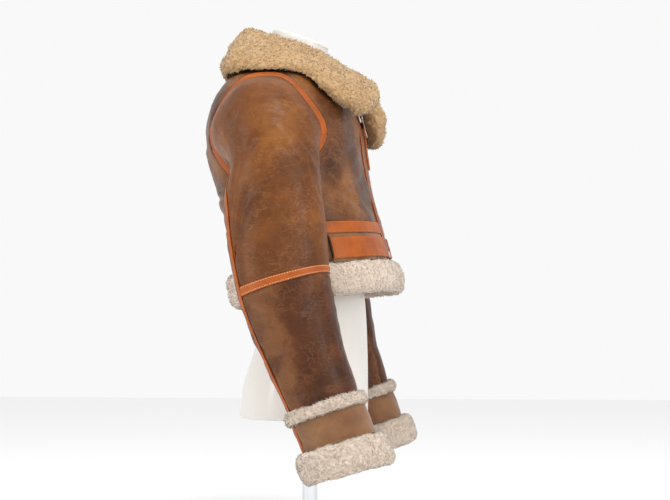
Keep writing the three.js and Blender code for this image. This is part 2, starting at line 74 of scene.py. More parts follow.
# %% [markdown]
# ## The camera
# The photograph was taken from far away with a long lens, from a little below the hem, so the
# hem is seen nearly flat and the base is below the picture. The camera stands at the wearer's
# right, turned a little to the front, and is tilted up to bring the collar into the picture.

# %% Camera
CAMERA_FAR = 3.0  # metres from the pole
CAMERA_TURN = 7.5  # degrees from the side towards the front
EYE_HEIGHT = 0.340  # metres
FOCAL_PX = 1818  # the lens, in pixels of a picture 670 pixels wide
PICTURE = (670, 500)
POLE_PX = 310  # the column of the pole
HORIZON_PX = 330  # the row of the eye's height

turned = math.radians(CAMERA_TURN)
look = np.array([math.cos(turned), math.sin(turned), 0])
lens = bpy.data.cameras.new("portrait lens")
lens.sensor_width = 36
lens.lens = FOCAL_PX * lens.sensor_width / PICTURE[0]
lens.clip_end = 50
camera = bpy.data.objects.new("camera", lens)
aside = (PICTURE[0] / 2 - POLE_PX) / FOCAL_PX * CAMERA_FAR  # the camera is this far off the pole
upwards = math.atan((HORIZON_PX - PICTURE[1] / 2) / FOCAL_PX)
camera.location = (-CAMERA_FAR * look[0] + aside * look[1],
                   -CAMERA_FAR * look[1] - aside * look[0], EYE_HEIGHT)
camera.rotation_euler = (math.radians(90) + upwards, 0, math.atan2(-look[0], look[1]))
bpy.context.scene.collection.objects.link(camera)
bpy.context.scene.camera = camera
print("lens:", round(lens.lens, 1), "mm, tilted up", round(math.degrees(upwards), 2), "degrees")

# %% [markdown]
# ## Smooth tables
# The jacket's shape is held in short tables: a row for each height of the body, or for each
# station down a sleeve. Between rows every column follows a smooth curve, so a few rows give a
# smooth garment, and a change to one row bends only the cloth near it.

# %% Tables and curves
def columns(names, rows):
    """A table as one array for each named column; the first column is the position."""
    return dict(zip(names.split(), np.array(rows, float).T))


def row_at(table, position):
    """Every column at some positions: a cubic between rows, whose slope at a row is that of the
    straight line between the rows on either side of it."""
    key = next(iter(table.values()))
    x = np.clip(position, key[0], key[-1])
    i = np.clip(np.searchsorted(key, x, side="right") - 1, 0, len(key) - 2)
    before, after = np.maximum(i - 1, 0), np.minimum(i + 2, len(key) - 1)
    span = key[i + 1] - key[i]
    t = (x - key[i]) / span
    found = {}
    for name, c in table.items():
        slope_a = (c[i + 1] - c[before]) / (key[i + 1] - key[before]) * span
        slope_b = (c[after] - c[i]) / (key[after] - key[i]) * span
        found[name] = (
            (2 * t**3 - 3 * t**2 + 1) * c[i]
            + (t**3 - 2 * t**2 + t) * slope_a
            + (3 * t**2 - 2 * t**3) * c[i + 1]
            + (t**3 - t**2) * slope_b
        )
    return found


def smooth(x, start, end):
    """0 before start, 1 after end, and an S-shaped rise between them."""
    t = np.clip((x - start) / (end - start), 0, 1)
    return t * t * (3 - 2 * t)


def signed_power(v, p):
    """|v| to the power p, with v's own sign: it squares a circle off, or pinches it."""
    return np.sign(v) * np.abs(v) ** p


def stack(*parts):
    """Arrays of x, y and z, or of any parts, broadcast to one array of points."""
    return np.stack(np.broadcast_arrays(*parts), axis=-1)


def unit(v):
    return v / np.maximum(np.linalg.norm(v, axis=-1, keepdims=True), 1e-9)


def full_turn(count):
    """Even turns in degrees, all the way round, without the last one that meets the first."""
    return np.linspace(0, 360, count, endpoint=False)


def circle(count):
    return np.linspace(0, 2 * np.pi, count, endpoint=False)


def moved_out(surface, u, v, out, direction):
    """A surface's points moved along its normal, the cross product of its two slopes."""
    step = 0.4
    du = surface(u + step, v) - surface(u - step, v)
    dv = surface(u, v + step) - surface(u, v - step)
    normal = unit(np.cross(du, dv)) * direction
    return surface(u, v) + normal * np.asarray(out, float)[..., None]

# %% [markdown]
# ## The shape of the body
# A ring of the body is a superellipse, flatter in front and behind than an ellipse. The turn is
# 0 at the zip, 90 at the wearer's right and 180 at the middle of the back.

# %% Body
BODY = columns("z half front back mid lift", [
    (385, 177, 134, 119, -10, 14),
    (440, 178, 131, 122, -2, 13),
    (500, 178, 127, 121, 10, 9),
    (560, 183, 126, 122, 24, 4),
    (620, 187, 128, 126, 37, 0),
    (670, 187, 126, 122, 42, 0),
    (710, 186, 109, 112, 41, 0),
    (740, 172, 88, 94, 39, 0),
    (752, 140, 77, 86, 38, 0),
    (762, 108, 66, 76, 36, 0),
    (772, 84, 56, 67, 34, 0),
    (781, 68, 48, 58, 32, 0),
])
SQUARE = 2.5  # the superellipse's power
NECK_TOP = 780
NECK_DIP, DIP_FROM, DIP_WIDTH = 74, 660, 47  # mm deep in front, above this height, degrees
HIDE = 3  # the leather with its wool clipped short
TAPE = 0.8  # how far a tape stands above the panels beside it
GAP = 0.45


def body(turn, z):
    """x is half the width times sine, y the depth times cosine, each to the power 2/2.5."""
    row = row_at(BODY, z)
    c, s = np.cos(np.radians(turn)), np.sin(np.radians(turn))
    deep = np.where(c > 0, row["front"], row["back"])
    x = -row["half"] * signed_power(s, 2 / SQUARE)
    y = row["mid"] - deep * signed_power(c, 2 / SQUARE)
    return stack(x, y, z + row["lift"] * c)


def dipped(turn, z):
    """Levels above the chest sink towards the middle of the front, for the neckline."""
    away = np.minimum(np.abs(turn), 360 - np.abs(turn))
    share = np.cos(np.radians(np.minimum(away / DIP_WIDTH, 1) * 90)) ** 2
    high = np.clip((z - DIP_FROM) / (NECK_TOP - DIP_FROM), 0, 1)
    return z - NECK_DIP * share * high


def on_body(side):
    """Points on the body's skin, side -1 for the wearer's right half and 1 for the left."""
    def place(turn, z, out):
        points = moved_out(body, turn, dipped(turn, z), out, -1)
        return points * np.array([-side, 1, 1])
    return place


def turn_at(x, z):
    """The turn of a point that is x mm from the middle of the front."""
    return np.degrees(np.arcsin((x / row_at(BODY, z)["half"]) ** (SQUARE / 2)))


print("chest:", round(2 * float(row_at(BODY, 650)["half"])), "mm wide")

# %% [markdown]
# ## The shape of a sleeve
# A sleeve starts on the armhole, an ellipse drawn on the side of the body, and swells into a
# tube that turns down and then leans forward, as a hanging sleeve does. round is 0 at the
# sleeve's front edge and 90 on its outer side.

# %% Armhole and sleeve
HOLE_Y, HOLE_Z, HOLE_R = 47, 650, 87
HOLE_TAPE, HOLE_PINCH = 9, 0.15  # the tape's width, and how far the circle is pinched
SLEEVE = columns("at x y z wide thick face lean", [
    (0, 176, 45, 650, 87, 87, 0, 0),
    (45, 203, 40, 645, 86, 86, 22, 0),
    (90, 224, 31, 624, 78, 76, 48, 0),
    (135, 236, 20, 590, 69, 65, 70, 0),
    (190, 245, 20, 535, 75, 59, 82, 2),
    (260, 253, 12, 465, 75, 56, 86, 6),
    (340, 263, -3, 386, 70, 54, 87, 13),
    (425, 272, -31, 303, 61, 50, 87, 18),
    (495, 279, -59, 236, 56, 47, 87, 19),
    (555, 283, -82, 180, 55, 48, 87, 17),
    (605, 286, -100, 133, 55, 49, 87, 15),
    (650, 289, -116, 91, 55, 49, 87, 14),
])
LEFT_BACK = 16  # how much less far forward the left sleeve hangs at its end
BACK_FROM, BACK_TO = 240, 600  # the stations between which it falls back
BODY_FIT, FIT_BY = 8, 25  # how far it is held off the body's side, from this station on
ARMPIT, ARMPIT_BY = 13, 135  # and how much more under the arm
CAP = 55  # the length over which the armhole's ellipse becomes the sleeve's ring
HEAD_FROM, HEAD_TO = 50, 170  # where the sleeve's head gives way to a plain tube
BESIDE_FROM, BESIDE_TO = 490, 560  # heights: only above them is the sleeve beside the body
OVAL = 0.92  # a ring's power: a little squarer than an ellipse


def side_reach(y, z):
    """Half the body's width where its side has this y and z."""
    row = row_at(BODY, z)
    deep = np.where(y < row["mid"], row["front"], row["back"])
    off = np.minimum(np.abs(y - row["mid"]) / deep, 1)
    return row["half"] * (1 - off**SQUARE) ** (1 / SQUARE)


def flank(side, y, z, out):
    """The body's skin as a function of y and z, seen from one side."""
    step = 0.5
    slope_y = (side_reach(y + step, z) - side_reach(y - step, z)) / (2 * step)
    slope_z = (side_reach(y, z + step) - side_reach(y, z - step)) / (2 * step)
    normal = unit(stack(side, -slope_y, -slope_z))
    return stack(side * side_reach(y, z), y, z) + normal * np.asarray(out, float)[..., None]


def hole_pinch(up):
    """The armhole is a circle that is pinched between its top, its sides and its foot."""
    return 1 - HOLE_PINCH * 4 * up**2 * (1 - up**2)


def armhole(side, around, grow, out):
    """The armhole's edge grown by some mm; around is 0 in front and 90 at the shoulder."""
    c, s = np.cos(np.radians(around)), np.sin(np.radians(around))
    y = HOLE_Y - (HOLE_R + grow) * c * hole_pinch(s)
    z = HOLE_Z + (HOLE_R + grow) * s
    return flank(side, y, z, out)


def sleeve(side, around, at):
    """Rings carried down the table, blended with the armhole at its head and held off the
    body's side."""
    row = row_at(SLEEVE, at)
    c, s = np.cos(np.radians(around)), np.sin(np.radians(around))
    face, lean = np.radians(row["face"]), np.radians(row["lean"])
    front = stack(0, -np.cos(lean), np.sin(lean))
    outside = stack(side * np.sin(face), 0, np.cos(face))
    middle_y = row["y"] + (LEFT_BACK * smooth(at, BACK_FROM, BACK_TO) if side > 0 else 0)
    p = stack(side * row["x"], middle_y, row["z"])
    pinch = 1 - (1 - hole_pinch(s)) * (1 - smooth(at, HEAD_FROM, HEAD_TO))
    p = p + front * (row["wide"] * pinch * signed_power(c, OVAL))[..., None]
    p = p + outside * (row["thick"] * signed_power(s, OVAL))[..., None]
    start = armhole(side, around, 0, 0)
    p = p + (start - p) * (1 - smooth(at, 0, CAP))[..., None]
    fold = ARMPIT * smooth(at, CAP, ARMPIT_BY) * smooth(p[..., 2], BESIDE_FROM, BESIDE_TO)
    room = side_reach(p[..., 1], p[..., 2]) + BODY_FIT * smooth(at, 0, FIT_BY) + fold
    held = (p[..., 0] * side < room) & (p[..., 2] > BESIDE_FROM)
    p[..., 0] = np.where(held, side * room, p[..., 0])
    return p


def on_hole(side):
    """The armhole's edge as a surface: around it, and across its tape."""
    return lambda around, grow, out: armhole(side, around, grow, out)


def on_sleeve(side):
    def place(around, at, out):
        at = np.asarray(at, float) + 0 * around
        return moved_out(lambda u, v: sleeve(side, u, v), around, at, out, -side)
    return place


print("sleeve:", round(float(SLEEVE["at"][-2])), "mm from armhole to cuff end")

# %% [markdown]
# ## Pieces as closed walls
# A panel of leather is a grid of points for its outer face and another for its inner face, sewn
# together round the rim. Working on whole grids keeps the code short, and it keeps the panel
# closed, so it has a thickness wherever it is looked at.

# %% Meshes from grids
SHEET_SIZES = []
INNER_FOLLOWS = 0.8  # the inner face of a wall takes up this share of the outer face's relief
LEAST_AREA = 0.31  # of width times length, for a sheet


def grid(us, vs):
    return np.meshgrid(np.asarray(us, float), np.asarray(vs, float), indexing="ij")


def quads_of(index, wrap_u=False, wrap_v=False):
    """The four corners of each cell of a grid of vertex numbers."""
    if wrap_u:
        index = np.concatenate([index, index[:1]])
    if wrap_v:
        index = np.concatenate([index, index[:, :1]], axis=1)
    return stack(index[:-1, :-1], index[1:, :-1], index[1:, 1:], index[:-1, 1:]).reshape(-1, 4)


def tube_triangles(index, wrap_u):
    """Triangles of a tube that is closed along v, with a fan over each end if it has ends. The
    fans' middles are the two points after the grid's own."""
    quads = quads_of(index, wrap_u, True)
    found = [quads[:, [0, 1, 2]], quads[:, [0, 2, 3]]]
    if not wrap_u:
        for row, middle, way in ((index[0], index.size, 1), (index[-1], index.size + 1, -1)):
            found.append(stack(row, np.roll(row, -1), middle)[:, ::way])
    return np.concatenate(found)


def with_ends(points, wrap_u):
    """A tube's points, or its values, with the middles of its two ends after them."""
    flat = points.reshape(-1, points.shape[-1])
    if wrap_u:
        return flat
    return np.concatenate([flat, points[:1].mean(axis=1), points[-1:].mean(axis=1)])


def signed_volume(points, faces):
    """Above zero when a closed surface of triangles or quads faces outwards."""
    corners = points[faces]
    return sum(float((corners[:, 0] * np.cross(corners[:, k], corners[:, k + 1])).sum()) / 6
               for k in range(1, faces.shape[1] - 1))


def new_object(name, points, faces, material, nodes=(), body_name=BODY_NAME, uv=None, values=None,
               normals=None, soft=True):
    """A mesh from points in mm, riding on a body and standing for the solids in nodes. A closed
    surface that is inside out is turned round."""
    if signed_volume(points, faces) < 0:
        faces = faces[:, ::-1]
    mesh = bpy.data.meshes.new(name)
    mesh.from_pydata((points * MM).tolist(), [], faces.tolist())
    mesh.polygons.foreach_set("use_smooth", np.full(len(mesh.polygons), soft))
    if uv is not None:
        corners = np.empty(len(mesh.loops), int)
        mesh.loops.foreach_get("vertex_index", corners)
        layer = mesh.uv_layers.new(name="along")
        layer.data.foreach_set("uv", uv[corners].ravel())
    for key, value in (values or {}).items():
        layer = mesh.attributes.new(key, "FLOAT", "POINT")
        layer.data.foreach_set("value", value.astype(np.float32))
    if normals is not None:
        mesh.normals_split_custom_set_from_vertices(unit(normals).tolist())
    mesh.materials.append(material)
    made = bpy.data.objects.new(name, mesh)
    bpy.context.scene.collection.objects.link(made)
    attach(made, body_name)
    if nodes:
        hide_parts(*nodes)
    return made


def arc_lengths(points, axis):
    """The distance run along each line of a grid, in mm."""
    step = np.linalg.norm(np.diff(points, axis=axis), axis=-1)
    start = np.zeros_like(np.take(step, [0], axis=axis))
    return np.concatenate([start, np.cumsum(step, axis=axis)], axis=axis)


def wall(name, nodes, point, us, vs, material, outer=0.0, inner=-HIDE, ring=False, relief=None,
         cloth=True, shade=None):
    """A closed wall over a grid of a surface's two parameters. relief moves the outer face by
    some mm at each point, and the inner face follows it. A ring closes on itself along u. shade
    says how much lighter than its finish the piece is at each point, or darker below zero. A
    cloth wall states its flat cut."""
    u, v = grid(us, vs)
    face = point(u, v, 0 * u)
    across = arc_lengths(face, 0)
    along = arc_lengths(face, 1)
    lift = np.zeros(u.shape) if relief is None else relief(face, across, along)
    outside = point(u, v, outer + lift)
    inside = point(u, v, inner + INNER_FOLLOWS * lift)
    top = np.arange(u.size).reshape(u.shape)
    under = top + u.size
    faces = [quads_of(top, ring), quads_of(under, ring)[:, ::-1]]
    rims = [(top[:, 0], under[:, 0], 1), (top[:, -1], under[:, -1], -1)]
    if not ring:
        rims += [(top[0], under[0], -1), (top[-1], under[-1], 1)]
    for upper, lower, way in rims:
        faces.append(quads_of(stack(upper, lower), ring)[:, ::way])
    points = np.concatenate([outside.reshape(-1, 3), inside.reshape(-1, 3)])
    uv = stack(across, along).reshape(-1, 2) * MM
    tone = (0 * across if shade is None else shade(across, along)).ravel()
    made = new_object(name, points, np.concatenate(faces), material, nodes,
                      uv=np.concatenate([uv, uv]), values={"shade": np.concatenate([tone, tone])})
    if cloth:
        declare_sheet(made, outside, ring)


def declare_sheet(made, face, ring):
    """Records a panel's name and its longest runs both ways in SHEET_SIZES; its area is worked out but not
    kept.
    """
    if ring:
        face = np.concatenate([face, face[:1]])
    width = float(arc_lengths(face, 0)[-1].max()) * MM
    length = float(arc_lengths(face, 1)[:, -1].max()) * MM
    a = face[1:, 1:] - face[:-1, :-1]
    b = face[:-1, 1:] - face[1:, :-1]
    area = float(np.linalg.norm(np.cross(a, b), axis=-1).sum() / 2) * MM * MM
    area = min(max(area, LEAST_AREA * width * length), width * length)
    SHEET_SIZES.append((made.name, round(width / MM), round(length / MM)))


def count_for(length_mm, cell_mm):
    return max(int(round(length_mm / cell_mm)) + 1, 3)

# %% [markdown]
# ## Creases
# Leather of this weight doesn't hang in sharp folds. It has a few long soft troughs where the
# arm bends and the front is pulled by the zip, and short creases across the upper arm. Each one
# is listed: where its middle is, how long, wide and deep it is, and how it bends.

# %% Relief
def waves(points, size, seed, count=14):
    """Even noise between about -1 and 1: a sum of sine waves in random directions, whose
    wavelengths are near one size in mm."""
    pick = np.random.default_rng(seed)
    ways = unit(pick.normal(size=(count, 3))) * pick.uniform(0.7, 1.5, (count, 1))
    phase = pick.uniform(0, 2 * np.pi, count)
    total = sum(np.sin(points @ (w * 2 * np.pi / size) + p) for w, p in zip(ways, phase))
    return total / np.sqrt(count / 2) * 0.6


FOLD_DEPTH = 1.5  # deepens every trough in the tables below


def troughs(across, along, table):
    """Soft channels (negative depth raises a ridge). Each row: its middle across and along the
    panel, half its length, half its width, depth, slope, and bow, all in mm but the slope."""
    total = np.zeros(across.shape)
    for x, y, reach, wide, deep, slope, bow in table:
        off = across - x
        line = y + slope * off + bow * (off / reach) ** 2
        fade = np.clip(1 - (off / reach) ** 2, 0, 1) ** 1.5
        profile = (along - line) / wide
        total -= FOLD_DEPTH * deep * fade * np.exp(-(profile**2)) * (1 - 0.35 * profile)
    return total


def sunk_edges(across, along, sides=True, ends=True, deep=1.1, wide=3.5):
    """Panels dive a little into their seams."""
    sunk = np.zeros(across.shape)
    for wanted, run, total in ((sides, across, across[-1:, :]), (ends, along, along[:, -1:])):
        if wanted:
            sunk -= deep * np.exp(-((np.minimum(run, total - run) / wide) ** 2))
    return sunk


def leather_relief(table, swell, seed, sides=True):
    """Troughs, a slow swell at 70 mm and unevenness at 22 mm, all sinking at the seams."""
    def relief(points, across, along):
        return (troughs(across, along, table) + swell * waves(points, 70, seed)
                + 0.35 * waves(points, 22, seed + 1) + sunk_edges(across, along, sides))
    return relief

# %% [markdown]
# ## Finishes
# One small function adds a node and links it. Patterns read Object coordinates in metres, so a
# noise of scale 1 / 0.06 changes over about 60 mm, whatever piece it lies on. Sizes in mm are
# turned into scales in noise() and cells().

# %% Node helpers
def linear(hex_colour):
    """An sRGB hex colour as the linear values that shaders use."""
    parts = [int(hex_colour[i:i + 2], 16) / 255 for i in (1, 3, 5)]
    return (*[p / 12.92 if p <= 0.04045 else ((p + 0.055) / 1.055) ** 2.4 for p in parts], 1)


def add(tree, kind, inputs=None, **settings):
    """Adds a node. An input is a value, or another node's output to link."""
    made = tree.nodes.new(kind)
    for key, value in settings.items():
        setattr(made, key, value)
    for key, value in (inputs or {}).items():
        if isinstance(value, bpy.types.NodeSocket):
            tree.links.new(value, made.inputs[key])
        else:
            made.inputs[key].default_value = value
    return made


def start_finish(name, **shader_values):
    """A new material with its shader's plain values set on the shader's own sockets."""
    made = bpy.data.materials.new(name)
    made.use_nodes = True
    tree = made.node_tree
    shader = next(n for n in tree.nodes if n.type == "BSDF_PRINCIPLED")
    for key, value in shader_values.items():
        shader.inputs[key.replace("_", " ")].default_value = value
    return made, tree, shader


def ramp(tree, factor, stops):
    """Colours by place, from 0 to 1."""
    made = add(tree, "ShaderNodeValToRGB", {"Fac": factor})
    elements = made.color_ramp.elements
    while len(elements) < len(stops):
        elements.new(0.5)
    for element, (place, colour) in zip(elements, stops):
        element.position = place
        element.color = linear(colour) if isinstance(colour, str) else (colour,) * 3 + (1,)
    return made.outputs["Color"]


def maths(tree, operation, a, b=0.0, c=0.0):
    return add(tree, "ShaderNodeMath", {0: a, 1: b, 2: c}, operation=operation).outputs[0]


def scaled(tree, value, factor, plus=0.0):
    return maths(tree, "MULTIPLY_ADD", value, factor, plus)


def feed(tree, shader, **sockets):
    """Links outputs to the shader's inputs, which are named with _ for a space."""
    for key, output in sockets.items():
        tree.links.new(output, shader.inputs[key.replace("_", " ")])


def blend_colours(tree, share, a, b):
    made = add(tree, "ShaderNodeMix", {"Factor": share}, data_type="RGBA")
    for socket, value in ((made.inputs[6], a), (made.inputs[7], b)):
        if isinstance(value, bpy.types.NodeSocket):
            tree.links.new(value, socket)
        else:
            socket.default_value = linear(value)
    return made.outputs[2]


def noise(tree, place, size_mm, detail=3.0, rough=0.55, distortion=0.0):
    made = add(tree, "ShaderNodeTexNoise", {
        "Vector": place, "Scale": 1000 / size_mm, "Detail": detail, "Roughness": rough,
        "Distortion": distortion})
    return made.outputs["Fac"]


def cells(tree, place, size_mm, feature="F1"):
    """The distance to the nearest of scattered points, or to the border between two of them."""
    return add(tree, "ShaderNodeTexVoronoi", {"Vector": place, "Scale": 1000 / size_mm},
               feature=feature).outputs["Distance"]


def mapped(tree, place, **settings):
    return add(tree, "ShaderNodeMapping", {"Vector": place, **settings}).outputs[0]


def object_place(tree, **settings):
    return mapped(tree, add(tree, "ShaderNodeTexCoord").outputs["Object"], **settings)


def point_value(tree, name):
    return add(tree, "ShaderNodeAttribute", attribute_name=name).outputs["Fac"]


def bumped(tree, shader, height, depth_mm, strength=1.0, normal=None):
    made = add(tree, "ShaderNodeBump", {"Height": height, "Distance": depth_mm * MM, "Strength": strength})
    if normal is not None:
        tree.links.new(normal, made.inputs["Normal"])
    feed(tree, shader, Normal=made.outputs[0])
    return made.outputs[0]

# %% [markdown]
# ### Waxed sheepskin leather
# The outer side of the skin is dyed brown, waxed and rubbed, so it is mottled like an old saddle:
# darker where wax has sunk in, paler along veins and wrinkles where it has worn. It has a satin
# gloss, and a fine grain that shows only close by. The front and the forearms are
# darker and redder than the upper arms, so three batches of the same finish are made.

# %% Leather
def waxed_leather(name, dark, middle, light, worn, seed):
    """Mottling at 75 and 14 mm, wrinkles that run across the arm, veins, blots and grain."""
    made, tree, shader = start_finish(
        name, IOR=1.45, Coat_Weight=0.02, Coat_Roughness=0.25, Specular_IOR_Level=0.27)
    place = object_place(tree, Location=(0.13 * seed, 0.07 * seed, 0.0))
    small = noise(tree, place, 14, 4, 0.65)
    mottle = scaled(tree, noise(tree, place, 75, 2.5, 0.5, 0.5), 0.68, scaled(tree, small, 0.32))
    mottle = scaled(tree, point_value(tree, "shade"), 0.16, mottle)
    colour = ramp(tree, mottle, [(0.3, dark), (0.5, middle), (0.68, light)])
    # Wrinkles: noise squeezed upright, so that its features lie across the arm
    wrinkle = noise(tree, mapped(tree, place, Scale=(1, 1, 3.2)), 34, 5, 0.6, 1.2)
    ridge = maths(tree, "ABSOLUTE", maths(tree, "SUBTRACT", wrinkle, 0.5))
    line = ramp(tree, ridge, [(0.0, 1.0), (0.012, 0.55), (0.035, 0.0)])
    patchy = ramp(tree, noise(tree, place, 45, 2), [(0.45, 0.0), (0.62, 1.0)])
    colour = blend_colours(tree, scaled(tree, maths(tree, "MULTIPLY", line, patchy), 0.4), colour, worn)
    # Veins: the borders between cells of a warped mosaic
    push = add(tree, "ShaderNodeTexNoise", {"Vector": place, "Scale": 40, "Detail": 2}).outputs["Color"]
    push = add(tree, "ShaderNodeVectorMath", {0: push, 3: 0.028}, operation="SCALE").outputs[0]
    bent = add(tree, "ShaderNodeVectorMath", {0: place, 1: push}, operation="ADD").outputs[0]
    vein = ramp(tree, cells(tree, bent, 15, "DISTANCE_TO_EDGE"), [(0.0, 1.0), (0.03, 0.35), (0.07, 0.0)])
    patchy = ramp(tree, noise(tree, place, 60, 3), [(0.46, 0.0), (0.66, 1.0)])
    colour = blend_colours(tree, scaled(tree, maths(tree, "MULTIPLY", vein, patchy), 0.34), colour, worn)
    # Wax that has gathered in blots
    blots = ramp(tree, noise(tree, place, 30, 5, 0.7), [(0.56, 0.0), (0.72, 0.6)])
    colour = blend_colours(tree, blots, colour, dark)
    feed(tree, shader, Base_Color=colour, Roughness=scaled(tree, small, 0.25, 0.27))
    # Real grain is under 1 mm; it is drawn at 2 mm so that it shows
    bump = bumped(tree, shader, cells(tree, place, 2.0), 0.12, 0.35)
    bump = bumped(tree, shader, wrinkle, 1.6, 0.55, bump)
    bump = bumped(tree, shader, scaled(tree, line, -1), 0.35, 0.6, bump)
    bumped(tree, shader, noise(tree, place, 9, 3), 0.4, 0.5, bump)
    return made


LEATHER = waxed_leather("waxed sheepskin, upper arms", "#512a0a", "#67380f", "#7a4819", "#98673a", 1)
LEATHER_DARK = waxed_leather("waxed sheepskin, forearms", "#351804", "#4a2306", "#6a401f", "#80552c", 2)
LEATHER_FRONT = waxed_leather("waxed sheepskin, front", "#40220f", "#5c3519", "#7a4c26", "#9a6c3e", 3)

# %% [markdown]
# ### Tan tape, and brushed suede
# The tapes are cut from smooth calf leather in an orange tan, which is much more even than the
# sheepskin, with a little wear. The cuffs and the waistband are a paler brown, buffed dull.

# %% Tape and suede
def calf_leather(name, dark, light, rough, grain_mm, fuzz=0.0):
    """Even leather: two near colours in soft clouds, small scuffs, and a fine grain."""
    made, tree, shader = start_finish(name, IOR=1.5, Specular_IOR_Level=0.3, Sheen_Weight=fuzz)
    place = object_place(tree)
    colour = ramp(tree, noise(tree, place, 40, 5, 0.62), [(0.32, dark), (0.68, light)])
    scuff = ramp(tree, noise(tree, place, 7, 4, 0.7), [(0.58, 0.0), (0.75, 0.35)])
    feed(tree, shader, Base_Color=blend_colours(tree, scuff, colour, dark),
         Roughness=scaled(tree, scuff, 0.4, rough))
    bump = bumped(tree, shader, cells(tree, place, grain_mm), 0.1, 0.4)
    bumped(tree, shader, noise(tree, place, 12, 3), 0.5, 0.5, bump)
    return made


TAN_TAPE = calf_leather("tan calf tape", "#873c06", "#a5520b", 0.46, 1.6)
SUEDE = calf_leather("buffed suede", "#644026", "#805a39", 0.78, 1.4, fuzz=0.25)

# %% [markdown]
# ### Fleece
# Wool is crimped into small curls. Its tips are a little sun-bleached, and its depths keep more of
# the yellow of the grease. Each point of a fleece carries a value of tone and painted light, from
# 0 in the hollows, darkened as painted shade, to 1 at the tips, lightened as painted highlight,
# and the colour follows it. A sheen stands for the fuzz.

# %% Fleece, metal, cloth and the form's shell
def fleece_finish(name, hollow, middle, tip):
    made, tree, shader = start_finish(
        name, Roughness=0.95, IOR=1.45, Sheen_Weight=0.25, Sheen_Roughness=0.45, Subsurface_Weight=0.15,
        Subsurface_Radius=(1.0, 0.8, 0.6), Subsurface_Scale=0.003, Specular_IOR_Level=0.15)
    place = object_place(tree)
    clumps = scaled(tree, noise(tree, place, 45, 2), 0.5, -0.25)
    fine = scaled(tree, noise(tree, place, 3.5, 3, 0.7), 0.7, -0.35)
    # Painted shade in the hollows and painted highlight at the tips, with random clumps of tone
    factor = maths(tree, "ADD", maths(tree, "ADD", point_value(tree, "tone_and_painted_light"), clumps), fine)
    feed(tree, shader, Base_Color=ramp(tree, factor, [(0.05, hollow), (0.45, middle), (0.95, tip)]))
    bumped(tree, shader, noise(tree, place, 2.2, 3, 0.7), 0.8, 0.6)
    return made


def metal(name, colour, rough, scratch=0.12):
    """Polished or cast metal, with the roughness a little uneven from handling."""
    made, tree, shader = start_finish(name, Metallic=1.0, Base_Color=linear(colour))
    smudge = noise(tree, object_place(tree), 6, 4, 0.6)
    feed(tree, shader, Roughness=scaled(tree, smudge, scratch, rough))
    return made


def woven_cloth(name, dark, light, rib_mm=1.2):
    """Zip tape: a herringbone too fine to show, drawn as ribs."""
    made, tree, shader = start_finish(name, Roughness=0.9, Sheen_Weight=0.2)
    ribs = add(tree, "ShaderNodeTexWave", {
        "Vector": object_place(tree), "Scale": 1000 / rib_mm / 6.28, "Distortion": 1.5},
        bands_direction="Z").outputs["Fac"]
    feed(tree, shader, Base_Color=ramp(tree, ribs, [(0.2, dark), (0.8, light)]))
    bumped(tree, shader, ribs, 0.2, 0.5)
    return made


def thread(name, dark, light):
    made, tree, shader = start_finish(name, Roughness=0.6)
    worn = noise(tree, object_place(tree), 8, 2)
    feed(tree, shader, Base_Color=ramp(tree, worn, [(0.3, dark), (0.7, light)]))
    return made


def form_shell():
    """A form of glass-fibre shell, sprayed warm white and rubbed to a soft gloss."""
    made, tree, shader = start_finish("sprayed white shell", IOR=1.5, Coat_Weight=0.25, Coat_Roughness=0.18)
    place = object_place(tree)
    cloud = noise(tree, place, 120, 2)
    feed(tree, shader, Base_Color=ramp(tree, cloud, [(0.3, "#cfc9c2"), (0.7, "#d8d3cc")]),
         Roughness=scaled(tree, cloud, 0.1, 0.3))
    bumped(tree, shader, noise(tree, place, 25, 2), 0.15, 0.3)
    return made


HONEY_FLEECE = fleece_finish("honey fleece", "#a27f58", "#af8f68", "#bea37e")
CREAM_FLEECE = fleece_finish("cream fleece", "#bdab9a", "#c5b4a4", "#d3c6b8")
ZIP_STEEL = metal("worn nickel-plated zip", "#b9b2a6", 0.28)
CHROME = metal("polished chrome tube", "#d2d3d6", 0.06, 0.05)
BRONZE = metal("darkened bronze casting", "#3d2b20", 0.35, 0.2)
ZIP_CLOTH = woven_cloth("brown zip tape", "#4a3322", "#6e4f36")
PALE_THREAD = thread("pale linen thread", "#c9a06c", "#e2c092")
TAN_THREAD = thread("tan thread", "#a65a26", "#c47638")
FORM_WHITE = form_shell()
print("finishes:", len(bpy.data.materials))

# %% [markdown]
# ## The leather panels
# The fronts and the back are cut so that the armhole is taken out of their sides. Each level of
# a panel runs from the zip, or from one side seam, to the armhole's edge at that level. The grid
# follows those edges, so the panel meets its tape exactly.

# %% Fronts and back
CELL = 4.0  # mm between points on leather
FRONT_TAPE_NEAR, FRONT_TAPE_FAR = 8.2, 21  # mm from the middle of the zip
PANEL_EDGE = FRONT_TAPE_FAR + GAP
WAIST_LOW, WAIST_HIGH, BAND_LOW = 487, 506, 441  # the waist tape's heights, the band's foot
SEAM_TURN = 0.2  # degrees left free beside the armhole's tape and the side seam


def armhole_turn(z, at_back):
    """The turn at which a level meets the armhole, or the side seam above and below it."""
    grow = HOLE_TAPE + GAP
    up = np.clip((z - HOLE_Z) / (HOLE_R + grow), -1, 1)
    reach = (HOLE_R + grow) * np.sqrt(1 - up * up) * hole_pinch(up)
    row = row_at(BODY, z)
    y = HOLE_Y + (reach if at_back else -reach)
    deep = np.where(y < row["mid"], row["front"], row["back"])
    c = signed_power((row["mid"] - y) / deep, SQUARE / 2)
    turn = np.degrees(np.arccos(np.clip(c, -1, 1)))
    turn = np.maximum(turn, 90) if at_back else np.minimum(turn, 90)
    return np.where(np.abs(up) >= 1, 90, turn)


PANEL_LEVELS = np.linspace(WAIST_HIGH + GAP, NECK_TOP, count_for(300, CELL))


def front_point(side):
    place = on_body(side)

    def point(share, z, out):
        near = turn_at(PANEL_EDGE, np.minimum(z, HOLE_Z))
        far = armhole_turn(z, False) - SEAM_TURN
        return place(near + (far - near) * share, z, out)
    return point


